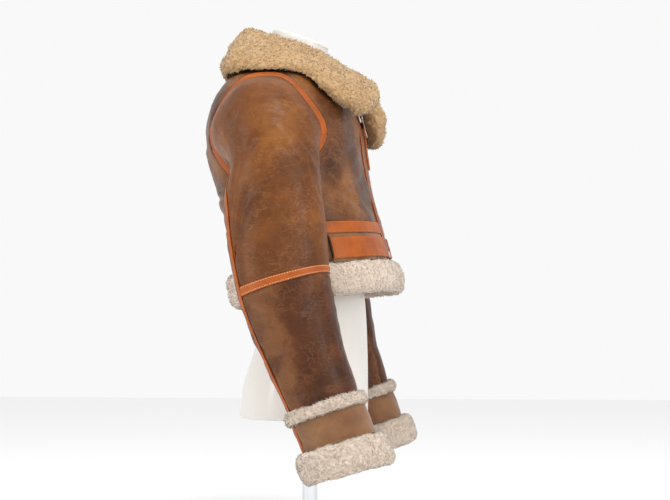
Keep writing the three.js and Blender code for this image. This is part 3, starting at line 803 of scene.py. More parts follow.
def back_point(share, z, out):
    start = armhole_turn(z, True) + SEAM_TURN
    return on_body(-1)(start + (360 - 2 * start) * share, z, out)


# middle across, middle down, half length, half width, depth, slope, bow
FRONT_FOLDS = [
    (70, 60, 75, 9, 2.6, -0.35, -6),
    (95, 95, 60, 8, -1.8, -0.3, 4),
    (55, 130, 60, 10, 2.2, -0.25, 5),
    (110, 40, 50, 9, 2.4, 0.5, 0),
    (40, 30, 40, 7, 1.6, 0.1, 3),
]
BACK_FOLDS = [
    (110, 60, 100, 10, 2.6, 0.12, 8),
    (250, 75, 95, 10, 2.4, -0.15, 8),
    (180, 130, 120, 12, 2.0, 0.05, -8),
    (90, 150, 70, 9, -1.6, -0.3, 0),
    (275, 140, 75, 9, 2.2, 0.35, 0),
    (175, 30, 130, 9, 1.8, 0.0, 6),
]


def front_shade(across, along):
    return 0.9 * waves(stack(across, 0.7 * along, 0 * across), 75, 95)


def body_panel(name, node, point, wide, folds, swell, seed):
    wall(name, [node], point, np.linspace(0, 1, count_for(wide, CELL)), PANEL_LEVELS, LEATHER_FRONT,
         relief=leather_relief(folds, swell, seed), shade=front_shade)


for side, label in SIDES:
    body_panel(f"leather_front_{label}", f"front_{label}", front_point(side), 160, FRONT_FOLDS, 1.0,
               11 + side)
body_panel("leather_back", "back", back_point, 360, BACK_FOLDS, 1.1, 15)
print("panels:", SHEET_SIZES)

# %% [markdown]
# ## The sleeves
# Each sleeve is an outer half, cut across at the elbow by a slanting tape, and an under half.
# The back seam swings under the arm near the armhole, so both halves read their edges from the
# same function. The troughs on the outer half are the creases that an arm leaves when it bends.

# %% Sleeve panels
SEAM_FRONT, SEAM_OUTER, SEAM_INNER = -28, 149, 161  # turns of the front seam and the back tape
SEAM_SWING, SWING_START, SWING_END = 76, 50, 210
SEAM_GAP, WIDER_AT_HEAD = 0.3, 3  # degrees beside a seam, and how many times that near the head
ELBOW_HIGH, ELBOW_LOW, ELBOW_SLANT = 300, 313, 12
ARM_START, ARM_END = 3, 499


def swing(at):
    return SEAM_SWING * (1 - smooth(at, SWING_START, SWING_END))


def sleeve_point(side, start, end):
    """share runs from one seam to the other; the elbow's slant lowers the back of each level."""
    place = on_sleeve(side)

    def point(share, at, out):
        gap = SEAM_GAP * (WIDER_AT_HEAD - (WIDER_AT_HEAD - 1) * smooth(at, 130, 230))
        first = start + (swing(at) if start > 90 else 0) + gap
        last = end + (swing(at) if end < 180 else 0) - gap
        around = first + (last - first) * share
        slant = ELBOW_SLANT * smooth(around, 20, SEAM_INNER)
        slant = slant * smooth(at, 180, ELBOW_HIGH) * (1 - smooth(at, ELBOW_LOW, 440))
        return place(around, at + slant, out)
    return point


UPPER_FOLDS = [
    (120, 60, 60, 6, 1.6, 0.1, 5),
    (135, 96, 70, 7, 2.2, -0.06, 7),
    (95, 118, 45, 5, 1.5, 0.15, 3),
    (160, 128, 50, 6, 1.9, -0.12, 5),
    (120, 150, 75, 7, 2.4, 0.05, 6),
    (80, 172, 40, 5, -1.2, 0.0, 4),
    (165, 178, 55, 7, 2.2, -0.15, 4),
    (110, 200, 60, 6, 1.7, 0.08, 5),
    (70, 236, 45, 7, 1.7, 0.25, 3),
    (190, 232, 45, 8, 2.6, -0.25, 3),
    (150, 262, 55, 7, 1.8, -0.1, 4),
    (40, 130, 35, 7, 1.8, 0.3, 0),
    (215, 110, 30, 7, 2.4, -0.2, 0),
    (30, 200, 30, 8, 1.6, 0.3, 0),
]
LOWER_FOLDS = [
    (60, 30, 50, 8, 2.2, 0.3, 4),
    (150, 26, 50, 9, 2.8, -0.35, 4),
    (100, 62, 55, 7, -1.4, 0.12, 4),
    (160, 92, 35, 7, 1.8, -0.2, 3),
    (60, 120, 40, 6, 1.4, 0.15, 3),
    (110, 165, 60, 6, 1.6, 0.0, 4),
]
UNDER_FOLDS = [
    (60, 60, 60, 9, 2.0, 0.2, 6),
    (90, 120, 60, 8, 2.2, -0.1, 6),
    (70, 190, 60, 8, 1.8, 0.15, 5),
    (80, 290, 70, 9, 2.6, 0.1, 6),
    (70, 330, 60, 8, -1.6, -0.1, 5),
    (80, 400, 60, 8, 1.6, 0.1, 4),
]


def forearm_shade(across, along):
    """The forearm's skin is pale towards its back seam and rubbed dark down its middle."""
    middle = np.exp(-(((across - 100) / 14) ** 2))
    uneven = waves(stack(across, along, 0 * across), 60, 91)
    return 1.3 * smooth(across, 118, 142) - 0.5 - 0.5 * middle + 0.4 * uneven


def upper_shade(across, along):
    """The upper arm darkens towards the elbow."""
    uneven = waves(stack(across, 0.6 * along, 0 * across), 90, 93)
    return 0.4 * uneven - 1.1 * smooth(along, 190, 290) + 0.25


def sleeve_wall(name, node, side, seams, start, end, finish, folds, seed, wide=240, shade=None):
    wall(name, [node], sleeve_point(side, *seams), np.linspace(0, 1, count_for(wide, CELL)),
         np.linspace(start, end, count_for(end - start, CELL)), finish,
         relief=leather_relief(folds, 0.9, seed), shade=shade)


OUTER_SEAMS, UNDER_SEAMS = (SEAM_FRONT, SEAM_OUTER), (SEAM_INNER, 360 + SEAM_FRONT)
for side, label in SIDES:
    sleeve_wall(f"leather_upper_sleeve_{label}", f"sleeve_upper_{label}", side, OUTER_SEAMS,
                ARM_START, ELBOW_HIGH - GAP, LEATHER, UPPER_FOLDS, 21 + side, shade=upper_shade)
    sleeve_wall(f"leather_forearm_{label}", f"sleeve_lower_{label}", side, OUTER_SEAMS,
                ELBOW_LOW + GAP, ARM_END, LEATHER_DARK, LOWER_FOLDS, 25 + side, shade=forearm_shade)
    sleeve_wall(f"leather_under_sleeve_{label}", f"sleeve_under_{label}", side, UNDER_SEAMS,
                ARM_START, ARM_END, LEATHER_DARK, UNDER_FOLDS, 29 + side, wide=210)
print("sleeve panels:", SHEET_SIZES[3:])

# %% [markdown]
# ## Tapes
# A tape is a strip of tan leather sewn over a seam with a row of stitches along each edge. On
# this jacket the tapes sit where the panels end, and stand a little above them. Their edges are
# rolled down, which a sharp fall over the last two millimetres gives.

# %% Tapes
TAPE_CELL = 3.0  # mm between points on a tape
ROLLED = 1.6  # how far in from its edge a tape is rolled
TAPE_SHARES = np.array([0, 0.06, 0.14, 0.5, 0.86, 0.94, 1])  # across a tape, close at its edges


def tape_relief(seed):
    def relief(points, across, along):
        return 0.25 * waves(points, 18, seed) + sunk_edges(across, along, deep=0.7, wide=ROLLED)
    return relief


def tape(name, nodes, point, us, vs, seed, outer=TAPE, inner=-HIDE, ring=False,
         finish=TAN_TAPE, cloth=True):
    wall(name, nodes, point, us, vs, finish, outer, inner, ring, tape_relief(seed), cloth)


def edge_levels(low, high):
    """Levels that crowd at both ends, so that a rolled edge has points to bend on."""
    inside = np.linspace(low + ROLLED, high - ROLLED, count_for(high - low - 2 * ROLLED, TAPE_CELL))
    return np.concatenate([[low, low + 0.7], inside, [high - 0.7, high]])


def round_body(z):
    """Turns round the body from beside the zip to the other side of the zip."""
    edge = float(turn_at(PANEL_EDGE, z))
    return np.linspace(edge, 360 - edge, count_for(1010, 4))


def front_strip(side, x_near, x_far):
    """A strip beside the zip: share runs across it and z up it, with x kept straight."""
    place = on_body(side)

    def point(share, z, out):
        x = x_near + (x_far - x_near) * share
        at = place(turn_at(np.abs(x), np.minimum(z, HOLE_Z)), z, out)
        return stack(side * x, at[..., 1], at[..., 2])
    return point


def back_seam(side):
    return sleeve_point(side, SEAM_OUTER, SEAM_INNER)


def front_edge(side):
    return front_strip(side, FRONT_TAPE_NEAR, FRONT_TAPE_FAR)


WAIST_MIDDLE, BAND_MIDDLE = 496, 460  # the heights at which their turns are measured
ZIP_LOW = 446
STRIP_LEVELS = np.linspace(ZIP_LOW, NECK_TOP, count_for(330, 3))
ZIP_TAPE_START, ZIP_TAPE_END = 0.2, 7.6  # the tapes meet under the teeth
tape("waist_tape_leather", ["waist_tape"], on_body(-1), round_body(WAIST_MIDDLE),
     edge_levels(WAIST_LOW, WAIST_HIGH), 41)
for side, label in SIDES:
    tape(f"elbow_tape_leather_{label}", [f"elbow_tape_{label}"], sleeve_point(side, *OUTER_SEAMS),
         np.linspace(0, 1, count_for(240, 4)), edge_levels(ELBOW_HIGH, ELBOW_LOW), 43)
    tape(f"back_seam_tape_leather_{label}", [f"back_seam_tape_{label}"], back_seam(side), TAPE_SHARES,
         np.linspace(ARM_START, ARM_END, count_for(497, 4)), 45)
    tape(f"armhole_tape_leather_{label}", [f"armhole_tape_{label}"], on_hole(side), full_turn(150),
         np.array([GAP, 1.2, 2.5, 4.7, 7, 8.3, HOLE_TAPE]), 47, ring=True)
for side, label in SIDES:
    tape(f"front_tape_leather_{label}", [f"front_tape_{label}"], front_edge(side), TAPE_SHARES,
         STRIP_LEVELS, 49)
    tape(f"zip_cloth_{label}", [f"zip_tape_{label}"], front_strip(side, ZIP_TAPE_START, ZIP_TAPE_END),
         np.linspace(0, 1, 4), STRIP_LEVELS, 51, -0.6, -2.2, finish=ZIP_CLOTH, cloth=False)
print("tapes done, sheets so far:", len(SHEET_SIZES))

# %% [markdown]
# ## Waistband, cuffs and straps
# The waistband and the cuffs are the buffed side of the same skin. A strap runs along each side
# of the waistband through a plain bronze frame. Straps lie on the band, so they are made from
# its surface, moved out.

# %% Suede and straps
wall("suede_waistband", ["waistband"], on_body(-1), round_body(BAND_MIDDLE),
     np.linspace(BAND_LOW, WAIST_LOW - GAP, count_for(46, CELL)), SUEDE,
     relief=leather_relief((), 0.7, 61))
CUFF_START, CUFF_END, CUFF_FLARE = 519, 563, 2.5
CUFF_FOLDS = [(90, 14, 60, 6, 1.2, 0.1, 3), (170, 26, 60, 6, 1.4, -0.1, 3), (260, 18, 60, 7, 1.4, 0.1, 2)]


def flared(side):
    """The sleeve's surface, held out as the turned-back cuff is."""
    return lambda around, at, out: on_sleeve(side)(around, at, out + CUFF_FLARE)


for side, label in SIDES:
    wall(f"suede_cuff_{label}", [f"cuff_{label}"], flared(side), full_turn(96),
         np.linspace(CUFF_START, CUFF_END, count_for(44, 3.5)), SUEDE, ring=True,
         relief=leather_relief(CUFF_FOLDS, 0.6, 63, sides=False))
    # The back seam's tape goes on down the cuff
    tape(f"cuff_seam_tape_{label}", [], flared(side), np.linspace(SEAM_OUTER, SEAM_INNER, 7),
         np.linspace(CUFF_START + 1, CUFF_END - 1, 16), 65, inner=-0.4)

STRAP_LOW, STRAP_HIGH, STRAP_RISE, STRAP_THICK = 446, 480, 0.5, 2.0
STRAP_START, STRAP_FRONT_END = float(turn_at(PANEL_EDGE + 1, BAND_MIDDLE)), 67
TAIL_START, TAIL_END = 72, 118
STRAPS = (("strap_front", "waist_strap", STRAP_START, STRAP_FRONT_END),
          ("strap_tail", "strap_tail", TAIL_START, TAIL_END))
STRAP_TURN_MM = 2.6  # mm to a degree, where the straps lie
STRAP_FOLDS = [(45, 12, 40, 3.5, 0.7, 0.1, 2), (95, 22, 45, 3.5, 0.8, -0.08, 2), (20, 24, 20, 3, 0.6, 0.3, 0)]


def strap_relief(points, across, along):
    return (0.3 * waves(points, 26, 71) + troughs(across, along, STRAP_FOLDS)
            + sunk_edges(across, along, deep=0.8, wide=1.4))


for side, label in SIDES:
    for name, node, first, last in STRAPS:
        turns = np.linspace(first, last, count_for((last - first) * STRAP_TURN_MM, TAPE_CELL))
        wall(f"{name}_leather_{label}", [f"{node}_{label}"], on_body(side), turns,
             edge_levels(STRAP_LOW, STRAP_HIGH), TAN_TAPE, STRAP_RISE + STRAP_THICK,
             STRAP_RISE, relief=strap_relief)

THROAT = front_strip(1, 9, 31)
THROAT_LOW, THROAT_HIGH, THROAT_TOP, THROAT_UNDER = 604, 692, 4.6, 1.6
tape("throat_strap_leather", ["throat_strap"], THROAT, np.array([0, 0.05, 0.12, 0.35, 0.65, 0.88, 0.95, 1]),
     edge_levels(THROAT_LOW, THROAT_HIGH), 73, THROAT_TOP, THROAT_UNDER)
print("sheets:", len(SHEET_SIZES))

# %% [markdown]
# ## Stitching
# The maker sews 6 or 7 stitches to the inch with thick thread. Each one shows as a small
# grain that lies along the seam and sinks at both ends, so a stitch is a stretched drop.

# %% Stitches
STITCH_PITCH, STITCH_LONG, STITCH_WIDE = 4.1, 3.0, 0.95
STITCH_SUNK = 0.25  # how far its middle is below the tape's flat middle


def frames_along(path, spacing, closed=False):
    """Even points on a path, and the direction of the path there."""
    if closed:
        path = np.concatenate([path, path[:1]])
    step = np.linalg.norm(np.diff(path, axis=0), axis=1)
    run = np.concatenate([[0], np.cumsum(step)])
    stops = (np.arange(int(run[-1] / spacing)) + 0.5) * run[-1] / int(run[-1] / spacing)
    behind, at, ahead = (stack(*[np.interp(stops + ahead_by, run, path[:, k]) for k in range(3)])
                         for ahead_by in (-0.5, 0, 0.5))
    return at, unit(ahead - behind)


def repeated(faces, count, points_each):
    """The faces of one small mesh, for count copies of it."""
    return np.array(faces)[None] + (np.arange(count) * points_each)[:, None, None]


def drops(at, along, up, long, wide):
    """Closed drops of 10 points each, laid along a line on a surface whose outward way is up."""
    side = unit(np.cross(along, up))
    up = np.cross(side, along)
    rows = [at + along * long * share + (side * math.cos(angle) + up * math.sin(angle)) * wide * 0.62
            for share in (-0.24, 0.24) for angle in np.radians([45, 135, 225, 315])]
    rows += [at + along * long * share - up * wide * 0.3 for share in (-0.5, 0.5)]
    faces = []
    for k in range(4):
        after = (k + 1) % 4
        faces += [(k, after, 4 + after), (k, 4 + after, 4 + k), (8, after, k), (9, 4 + k, 4 + after)]
    return np.stack(rows, axis=1).reshape(-1, 3), repeated(faces, len(at), 10).reshape(-1, 3)


def stitch_row(point, us, vs, height, closed=False):
    """Stitches along a line that is given by its two parameters on a surface."""
    us, vs = np.broadcast_arrays(np.asarray(us, float), np.asarray(vs, float))
    path = point(us, vs, height)
    outwards = unit(point(us, vs, height + 1.0) - path)
    at, along = frames_along(path, STITCH_PITCH, closed)
    nearest = np.linalg.norm(at[:, None] - path[None], axis=2).argmin(axis=1)
    return drops(at, along, outwards[nearest], STITCH_LONG, STITCH_WIDE)


def joined(pieces):
    """Several closed meshes of triangles as one set of points and faces."""
    starts = np.cumsum([0] + [len(points) for points, _ in pieces[:-1]])
    return (np.concatenate([points for points, _ in pieces]),
            np.concatenate([faces + start for (_, faces), start in zip(pieces, starts)]))


def stretch(start, end):
    return start + (end - start) * np.linspace(0, 1, 260)


def stitches(name, rows, finish):
    points, faces = joined(rows)
    new_object(name, points, faces, finish)
    print(name, len(faces), "triangles")


tape_rows, pale_rows = [], []
on_tape, on_narrow_tape = TAPE - STITCH_SUNK, TAPE - STITCH_SUNK - 0.1
edge_at = float(turn_at(PANEL_EDGE, WAIST_MIDDLE)) + 0.6
for z in (WAIST_LOW + 2.2, WAIST_HIGH - 2.2):
    tape_rows.append(stitch_row(on_body(-1), np.linspace(edge_at, 360 - edge_at, 700), z, on_tape))
for side, label in SIDES:
    for grow in (2.1, HOLE_TAPE - 1.5):
        tape_rows.append(stitch_row(on_hole(side), np.linspace(0, 359, 300), grow, on_tape, closed=True))
    for at in (ELBOW_HIGH + 2, ELBOW_LOW - 2):
        pale_rows.append(stitch_row(sleeve_point(side, *OUTER_SEAMS), stretch(0.01, 0.99), at, on_tape))
    for share in (0.16, 0.84):
        tape_rows.append(stitch_row(back_seam(side), share, stretch(ARM_START + 1, ARM_END - 1),
                                    on_narrow_tape))
    for share in (0.15, 0.85):
        tape_rows.append(stitch_row(front_edge(side), share, stretch(ZIP_LOW + 2, NECK_TOP - 3),
                                    on_narrow_tape))
    for _, _, first, last in STRAPS:
        for z in (STRAP_LOW + 2.4, STRAP_HIGH - 2.4):
            tape_rows.append(stitch_row(on_body(side), stretch(first + 1, last - 1), z,
                                        STRAP_RISE + STRAP_THICK - 0.3))
for share in (0.12, 0.88):
    tape_rows.append(stitch_row(THROAT, share, stretch(THROAT_LOW + 2.5, THROAT_HIGH - 2.5),
                                THROAT_TOP - 0.35))
stitches("tape_stitches", tape_rows, TAN_THREAD)
stitches("elbow_stitches", pale_rows, PALE_THREAD)

# %% [markdown]
# ## The zip
# A metal zip has a tooth on one tape and then one on the other, pinched round a cord. The
# slider's two wings hold both rows together, and its tab hangs from a bridge, which is where the
# CAD model's hinge is.

# %% Zip
TOOTH_PITCH = 2.9  # mm between teeth of one row
TOOTH = (  # from its cord to its nose: how far across, half length, low and high
    (-0.75, 0.5, -0.5, 1.3), (0.5, 0.62, -0.5, 1.55), (2.35, 0.62, -0.5, 1.2))
TOOTH_CORNERS = 4 * len(TOOTH)


def middle_point(z, out):
    """A point on the front's middle line, at the depth of the zip's edge."""
    z = np.asarray(z, float)
    at = on_body(1)(turn_at(2.0, np.minimum(z, HOLE_Z)), z, out)
    return stack(0, at[..., 1], at[..., 2])


def facing_front(way):
    return way * np.where(way[..., 1:2] > 0, -1, 1)


def teeth():
    """Each tooth is a block with a narrower nose and a rounded crown."""
    path = middle_point(np.linspace(ZIP_LOW + 2, NECK_TOP - 2, 400), 0)
    at, along = frames_along(path, TOOTH_PITCH / 2)
    side = np.where(np.arange(len(at)) % 2 == 0, 1.0, -1.0)
    out = facing_front(unit(np.cross(along, [-1.0, 0, 0])))
    rows = [at + stack(side * x, 0, 0) + along * (way * half) + out * level
            for x, half, low, high in TOOTH
            for way, level in ((-1, low), (1, low), (1, high), (-1, high))]
    quads = [(0, 3, 2, 1), (8, 9, 10, 11)]
    for ring in (0, 4):
        for k in range(4):
            after = (k + 1) % 4
            quads.append((ring + k, ring + after, ring + 4 + after, ring + 4 + k))
    quads = np.array(quads)
    faces = repeated(np.concatenate([quads[:, [0, 1, 2]], quads[:, [0, 2, 3]]]), len(at), TOOTH_CORNERS)
    faces = np.where((side > 0)[:, None, None], faces, faces[:, :, ::-1])  # the other row is mirrored
    return np.stack(rows, axis=1).reshape(-1, 3), faces.reshape(-1, 3)


points, faces = teeth()
new_object("zip_teeth", points, faces, ZIP_STEEL, ["zip_chain"], soft=False)
print("teeth:", len(faces) // 20)

# %% [markdown]
# The slider, its tab, the box at the zip's foot and the strap frames are small castings. Each is
# a stack of outlines, with the outlines near a face drawn in a little so that the edges are round.

# %% Slider, tab and frames
def rounded_outline(half_wide, half_tall, power, count=64):
    angle = circle(count)
    return half_wide * signed_power(np.cos(angle), power), half_tall * signed_power(np.sin(angle), power)


def local(centre, *axes):
    """Points from sizes to the right, up and out of a small part's own middle."""
    return lambda x, y, z: centre + stack(x, y, z) @ np.stack(axes)


def stacked(place, outline, steps):
    """Loops of one outline at several depths, each with its own shrink or growth."""
    return [place(*outline(change), depth) for depth, change in steps]


def casting(name, nodes, levels, material, ring=False, body_name=BODY_NAME):
    """Closes a stack of loops of the same length. A ring joins its last loop to its first."""
    points = np.array(levels)
    index = np.arange(points.size // 3).reshape(points.shape[:2])
    faces = quads_of(index, True, True) if ring else tube_triangles(index, False)
    new_object(name, with_ends(points, ring), faces, material, nodes, body_name)


RIGHT = np.array([1.0, 0, 0])
SLIDER_LOW, SLIDER_HIGH, SLIDER_RISE = 712, 752, 4.1
SLIDER_HALF_WIDE, SLIDER_TAPER = 5.4, 0.14
foot, crown = middle_point(SLIDER_LOW, SLIDER_RISE), middle_point(SLIDER_HIGH, SLIDER_RISE)
slider_up = unit(crown - foot)
slider_out = facing_front(unit(np.cross(RIGHT, slider_up)))
half_tall = float(np.linalg.norm(crown - foot)) / 2


def slider_outline(shrink):
    """A rounded shape that is narrower towards the zip's foot."""
    x, y = rounded_outline(SLIDER_HALF_WIDE - shrink, half_tall - shrink, 0.6)
    return x * (1 - SLIDER_TAPER + SLIDER_TAPER * y / half_tall), y


casting("zip_slider_body", ["zip_slider"], stacked(
    local((foot + crown) / 2, RIGHT, slider_up, slider_out), slider_outline,
    ((-2.0, 0.6), (-1.4, 0.1), (0.4, 0.0), (1.4, 0.25), (1.9, 0.8), (2.05, 1.6))), ZIP_STEEL)

HINGE = np.array(frame["record"]["behaviour"]["joints"][0]["pos_m"]) / MM
tab_low = np.array(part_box("zip_pull")[0]) / MM
tab_top = np.array([0, HINGE[1], HINGE[2]])
tab_foot = np.array([0, tab_low[1] + 0.75, tab_low[2] + 0.2])
tab_down = unit(tab_foot - tab_top)
tab_out = facing_front(unit(np.cross(tab_down, RIGHT)))
tab_long = float(np.linalg.norm(tab_foot - tab_top))
tab_at = local(tab_top, RIGHT, tab_down, tab_out)
TAB_SHAPE = np.array([  # down from the hinge's axis, half width
    (-1.0, 0.0), (-0.9, 1.2), (-0.4, 2.2), (0.8, 2.75), (3, 2.9), (6, 2.7), (8.5, 2.2), (11, 2.2), (15, 2.8),
    (20, 3.15), (26, 3.2), (30, 3.1), (33, 2.6), (34.6, 1.8), (35.4, 0.9), (35.6, 0.0)])
TAB_SHAPE[:, 0] *= tab_long / TAB_SHAPE[-1, 0]


def mirrored(wide, down):
    """A closed outline from its right half."""
    return np.concatenate([wide, -wide[-2:0:-1]]), np.concatenate([down, down[-2:0:-1]])


def tab_outline(shrink, count=36):
    stops = np.linspace(0, len(TAB_SHAPE) - 1, count)
    down, wide = (np.interp(stops, np.arange(len(TAB_SHAPE)), column) for column in TAB_SHAPE.T)
    middle = tab_long / 2 - 0.5
    down = middle + (down - middle) * (1 - shrink / (tab_long / 2))
    return mirrored(np.maximum(wide - shrink, 0), down)


def eye_outline(grow, count=36):
    """The eye that the slider's bridge goes through."""
    angle = np.linspace(0, np.pi, count)
    return mirrored((1.35 + grow) * signed_power(np.sin(angle), 0.7),
                    4.3 - (3.0 + grow) * signed_power(np.cos(angle), 0.7))


casting("zip_tab", ["zip_pull"],
        stacked(tab_at, tab_outline, ((0.8, 0.45), (0.45, 0.0), (-0.45, 0.0), (-0.8, 0.45)))
        + stacked(tab_at, eye_outline, ((-0.8, 0.35), (-0.4, 0.0), (0.4, 0.0), (0.8, 0.35))),
        ZIP_STEEL, ring=True, body_name="zip_pull")


def bent_wire(name, path, radius, material):
    """A round wire along a path, with its ends closed."""
    along = unit(np.gradient(path, axis=0))
    aside = unit(np.cross(along, RIGHT + 0 * along))
    other = np.cross(along, aside)
    angle = circle(12)
    loops = [p + radius * (np.multiply.outer(np.cos(angle), a) + np.multiply.outer(np.sin(angle), b))
             for p, a, b in zip(path, aside, other)]
    casting(name, [], loops, material)


sweep = np.linspace(0, np.pi, 17)
bridge_path = (tab_top + np.multiply.outer(3.4 * np.cos(sweep), slider_up)
               + np.multiply.outer(2.6 * np.sin(sweep) - 1.4, slider_out))
bent_wire("zip_bridge", bridge_path, 0.8, ZIP_STEEL)

# The box at the zip's foot lies as its own stretch of the front does
box_low, box_middle, box_high = (middle_point(ZIP_LOW + rise, 0.6) for rise in (0, 5, 10))
box_up = unit(box_high - box_low)
box_at = local(box_middle, RIGHT, box_up, facing_front(unit(np.cross(box_up, RIGHT))))
casting("zip_foot_box", [], stacked(
    box_at, lambda shrink: rounded_outline(3.9 - shrink, 4.8 - shrink, 0.35, 48),
    ((-1.4, 0.3), (-1.0, 0.0), (1.2, 0.0), (1.8, 0.4), (1.95, 1.0))), ZIP_STEEL)

FRAME_TURN, FRAME_HALF_TURN, FRAME_Z, FRAME_HALF_HIGH = 74.5, 7.4, 463.5, 21
FRAME_WIRE, FRAME_INNER, FRAME_OUTER, FRAME_HALF_WIDE = 3, 3.0, 5.4, 14.5
for side, label in SIDES:
    # The four sides are walked evenly, and the corners are rounded by the power
    c, s = (signed_power(wave, 0.3) for wave in (np.cos(circle(128)), np.sin(circle(128))))
    loops = []
    for b in circle(12):
        shrink = FRAME_WIRE / 2 * (1 - signed_power(np.cos(b), 0.7))
        out = (FRAME_OUTER + FRAME_INNER) / 2 + (FRAME_OUTER - FRAME_INNER) / 2 * signed_power(np.sin(b), 0.7)
        turn = FRAME_TURN + c * FRAME_HALF_TURN * (1 - shrink / FRAME_HALF_WIDE)
        loops.append(on_body(side)(turn, FRAME_Z + s * (FRAME_HALF_HIGH - shrink), out))
    casting(f"strap_frame_bronze_{label}", [f"strap_frame_{label}"], loops, BRONZE, ring=True)
print("castings done")

# %% [markdown]
# ## Wool
# Sheep's wool that is clipped to 15 or 20 mm stands as a mat of small crimped curls. In the
# photograph the curls are under 10 mm across, with dark creases between them and loose tips at
# the outline. The mat is a dense grid lifted into round curls, by the distance to the nearest of
# many scattered points. Thousands of short bent locks grow out of it, because only separate
# locks give a woolly outline.

# %% Fleece
def scattered(cell, salt):
    """For each whole-numbered cell, three numbers from 0 to 1 that depend on the cell alone."""
    x, y, z = (cell[..., k].astype(np.int64) for k in range(3))
    mixed = (x * 73856093) ^ (y * 19349663) ^ (z * 83492791) ^ (salt * 2654435761)
    found = []
    for turn in range(3):
        mixed = (mixed ^ (mixed >> 13)) * 1274126177 & 0xFFFFFFFF
        mixed = (mixed ^ (mixed >> 16)) & 0xFFFFFFFF
        found.append((mixed & 0xFFFFFF) / float(0xFFFFFF))
        mixed = mixed + 1013904223 * (turn + 1)
    return stack(*found)


def curls(points, size, salt):
    """Round curls from 1 at their middles to 0 in the creases between them."""
    scaled = points / size
    home = np.floor(scaled).astype(int)
    nearest = np.full(points.shape[:-1], 9.0)
    second = nearest.copy()
    for dx in (-1, 0, 1):
        for dy in (-1, 0, 1):
            for dz in (-1, 0, 1):
                cell = home + np.array([dx, dy, dz])
                gap = np.linalg.norm(scaled - cell - scattered(cell, salt), axis=-1)
                second = np.minimum(second, np.maximum(nearest, gap))
                nearest = np.minimum(nearest, gap)
    return smooth(second - nearest, 0.0, 0.55)


def warped(points, amount, seed):
    """Points pushed about by slow waves, so that curls aren't in rows."""
    return points + amount * stack(*[waves(points, 30, seed + k) for k in range(3)])


def grid_normals(points, wrap_u, wrap_v):
    def slope(axis, wrap):
        if wrap:
            return np.roll(points, -1, axis=axis) - np.roll(points, 1, axis=axis)
        return np.gradient(points, axis=axis)
    return unit(np.cross(slope(0, wrap_u), slope(1, wrap_v)) + 1e-9)


def locks(roots, ways, root_tone_and_painted_light, pick, long, wide):
    """Short bent locks of wool: two rings of three points and a tip, each one closed. Their
    shading mostly follows the mat that they grow from, as light soaks into wool."""
    count = len(roots)
    lean = unit(pick.normal(size=(count, 3)))
    lean = unit(lean - ways * (lean * ways).sum(axis=1, keepdims=True))
    side = np.cross(ways, lean)
    curl = pick.uniform(1.0, 2.6, (count, 1))  # how far each one bends, in radians
    reach = pick.uniform(*long, (count, 1))
    thick = pick.uniform(*wide, (count, 1))
    points, tone_and_painted_light, shine = [], [], []
    for share, size in ((0.0, 1.0), (0.55, 0.85), (1.0, 0.0)):
        angle = curl * share
        centre = roots + reach * (ways * np.sin(angle) + lean * (1 - np.cos(angle))) / curl
        across = ways * -np.sin(angle) + lean * np.cos(angle)
        for k in range(3 if size else 1):
            turn = 2 * math.pi * k / 3
            off = across * math.cos(turn) + side * math.sin(turn)
            points.append(centre + thick * size * off)
            shine.append(1.8 * ways + off)
            # Each lock is painted paler towards its tip, as painted highlight
            tone_and_painted_light.append(root_tone_and_painted_light * (0.6 + 0.4 * share) + 0.22 * share)  # paler towards the tip
    faces = [(0, 2, 1)]
    for k in range(3):
        after = (k + 1) % 3
        faces += [(k, after, 3 + after), (k, 3 + after, 3 + k), (3 + k, 3 + after, 6)]
    return (np.stack(points, axis=1).reshape(-1, 3), repeated(faces, count, 7).reshape(-1, 3),
            np.stack(tone_and_painted_light, axis=1).ravel(), np.stack(shine, axis=1).reshape(-1, 3))


BIG_CURLS, SMALL_CURLS, SMALL_SIZE = 0.72, 0.28, 0.48  # shares of the depth, and the small one's size
LUMPS, LUMP_SIZE = 1.3, 38  # slow unevenness of the mat, in mm
# Painted shade in the hollows, painted light added on big and small curls, and a random spread of tone
# between locks
HOLLOW_PAINTED_SHADE, BIG_CURL_PAINTED_LIGHT, SMALL_CURL_PAINTED_LIGHT, TINT_SPREAD = 0.15, 0.42, 0.2, 0.07
WILD = 0.45  # how far locks stray from the mat's own direction


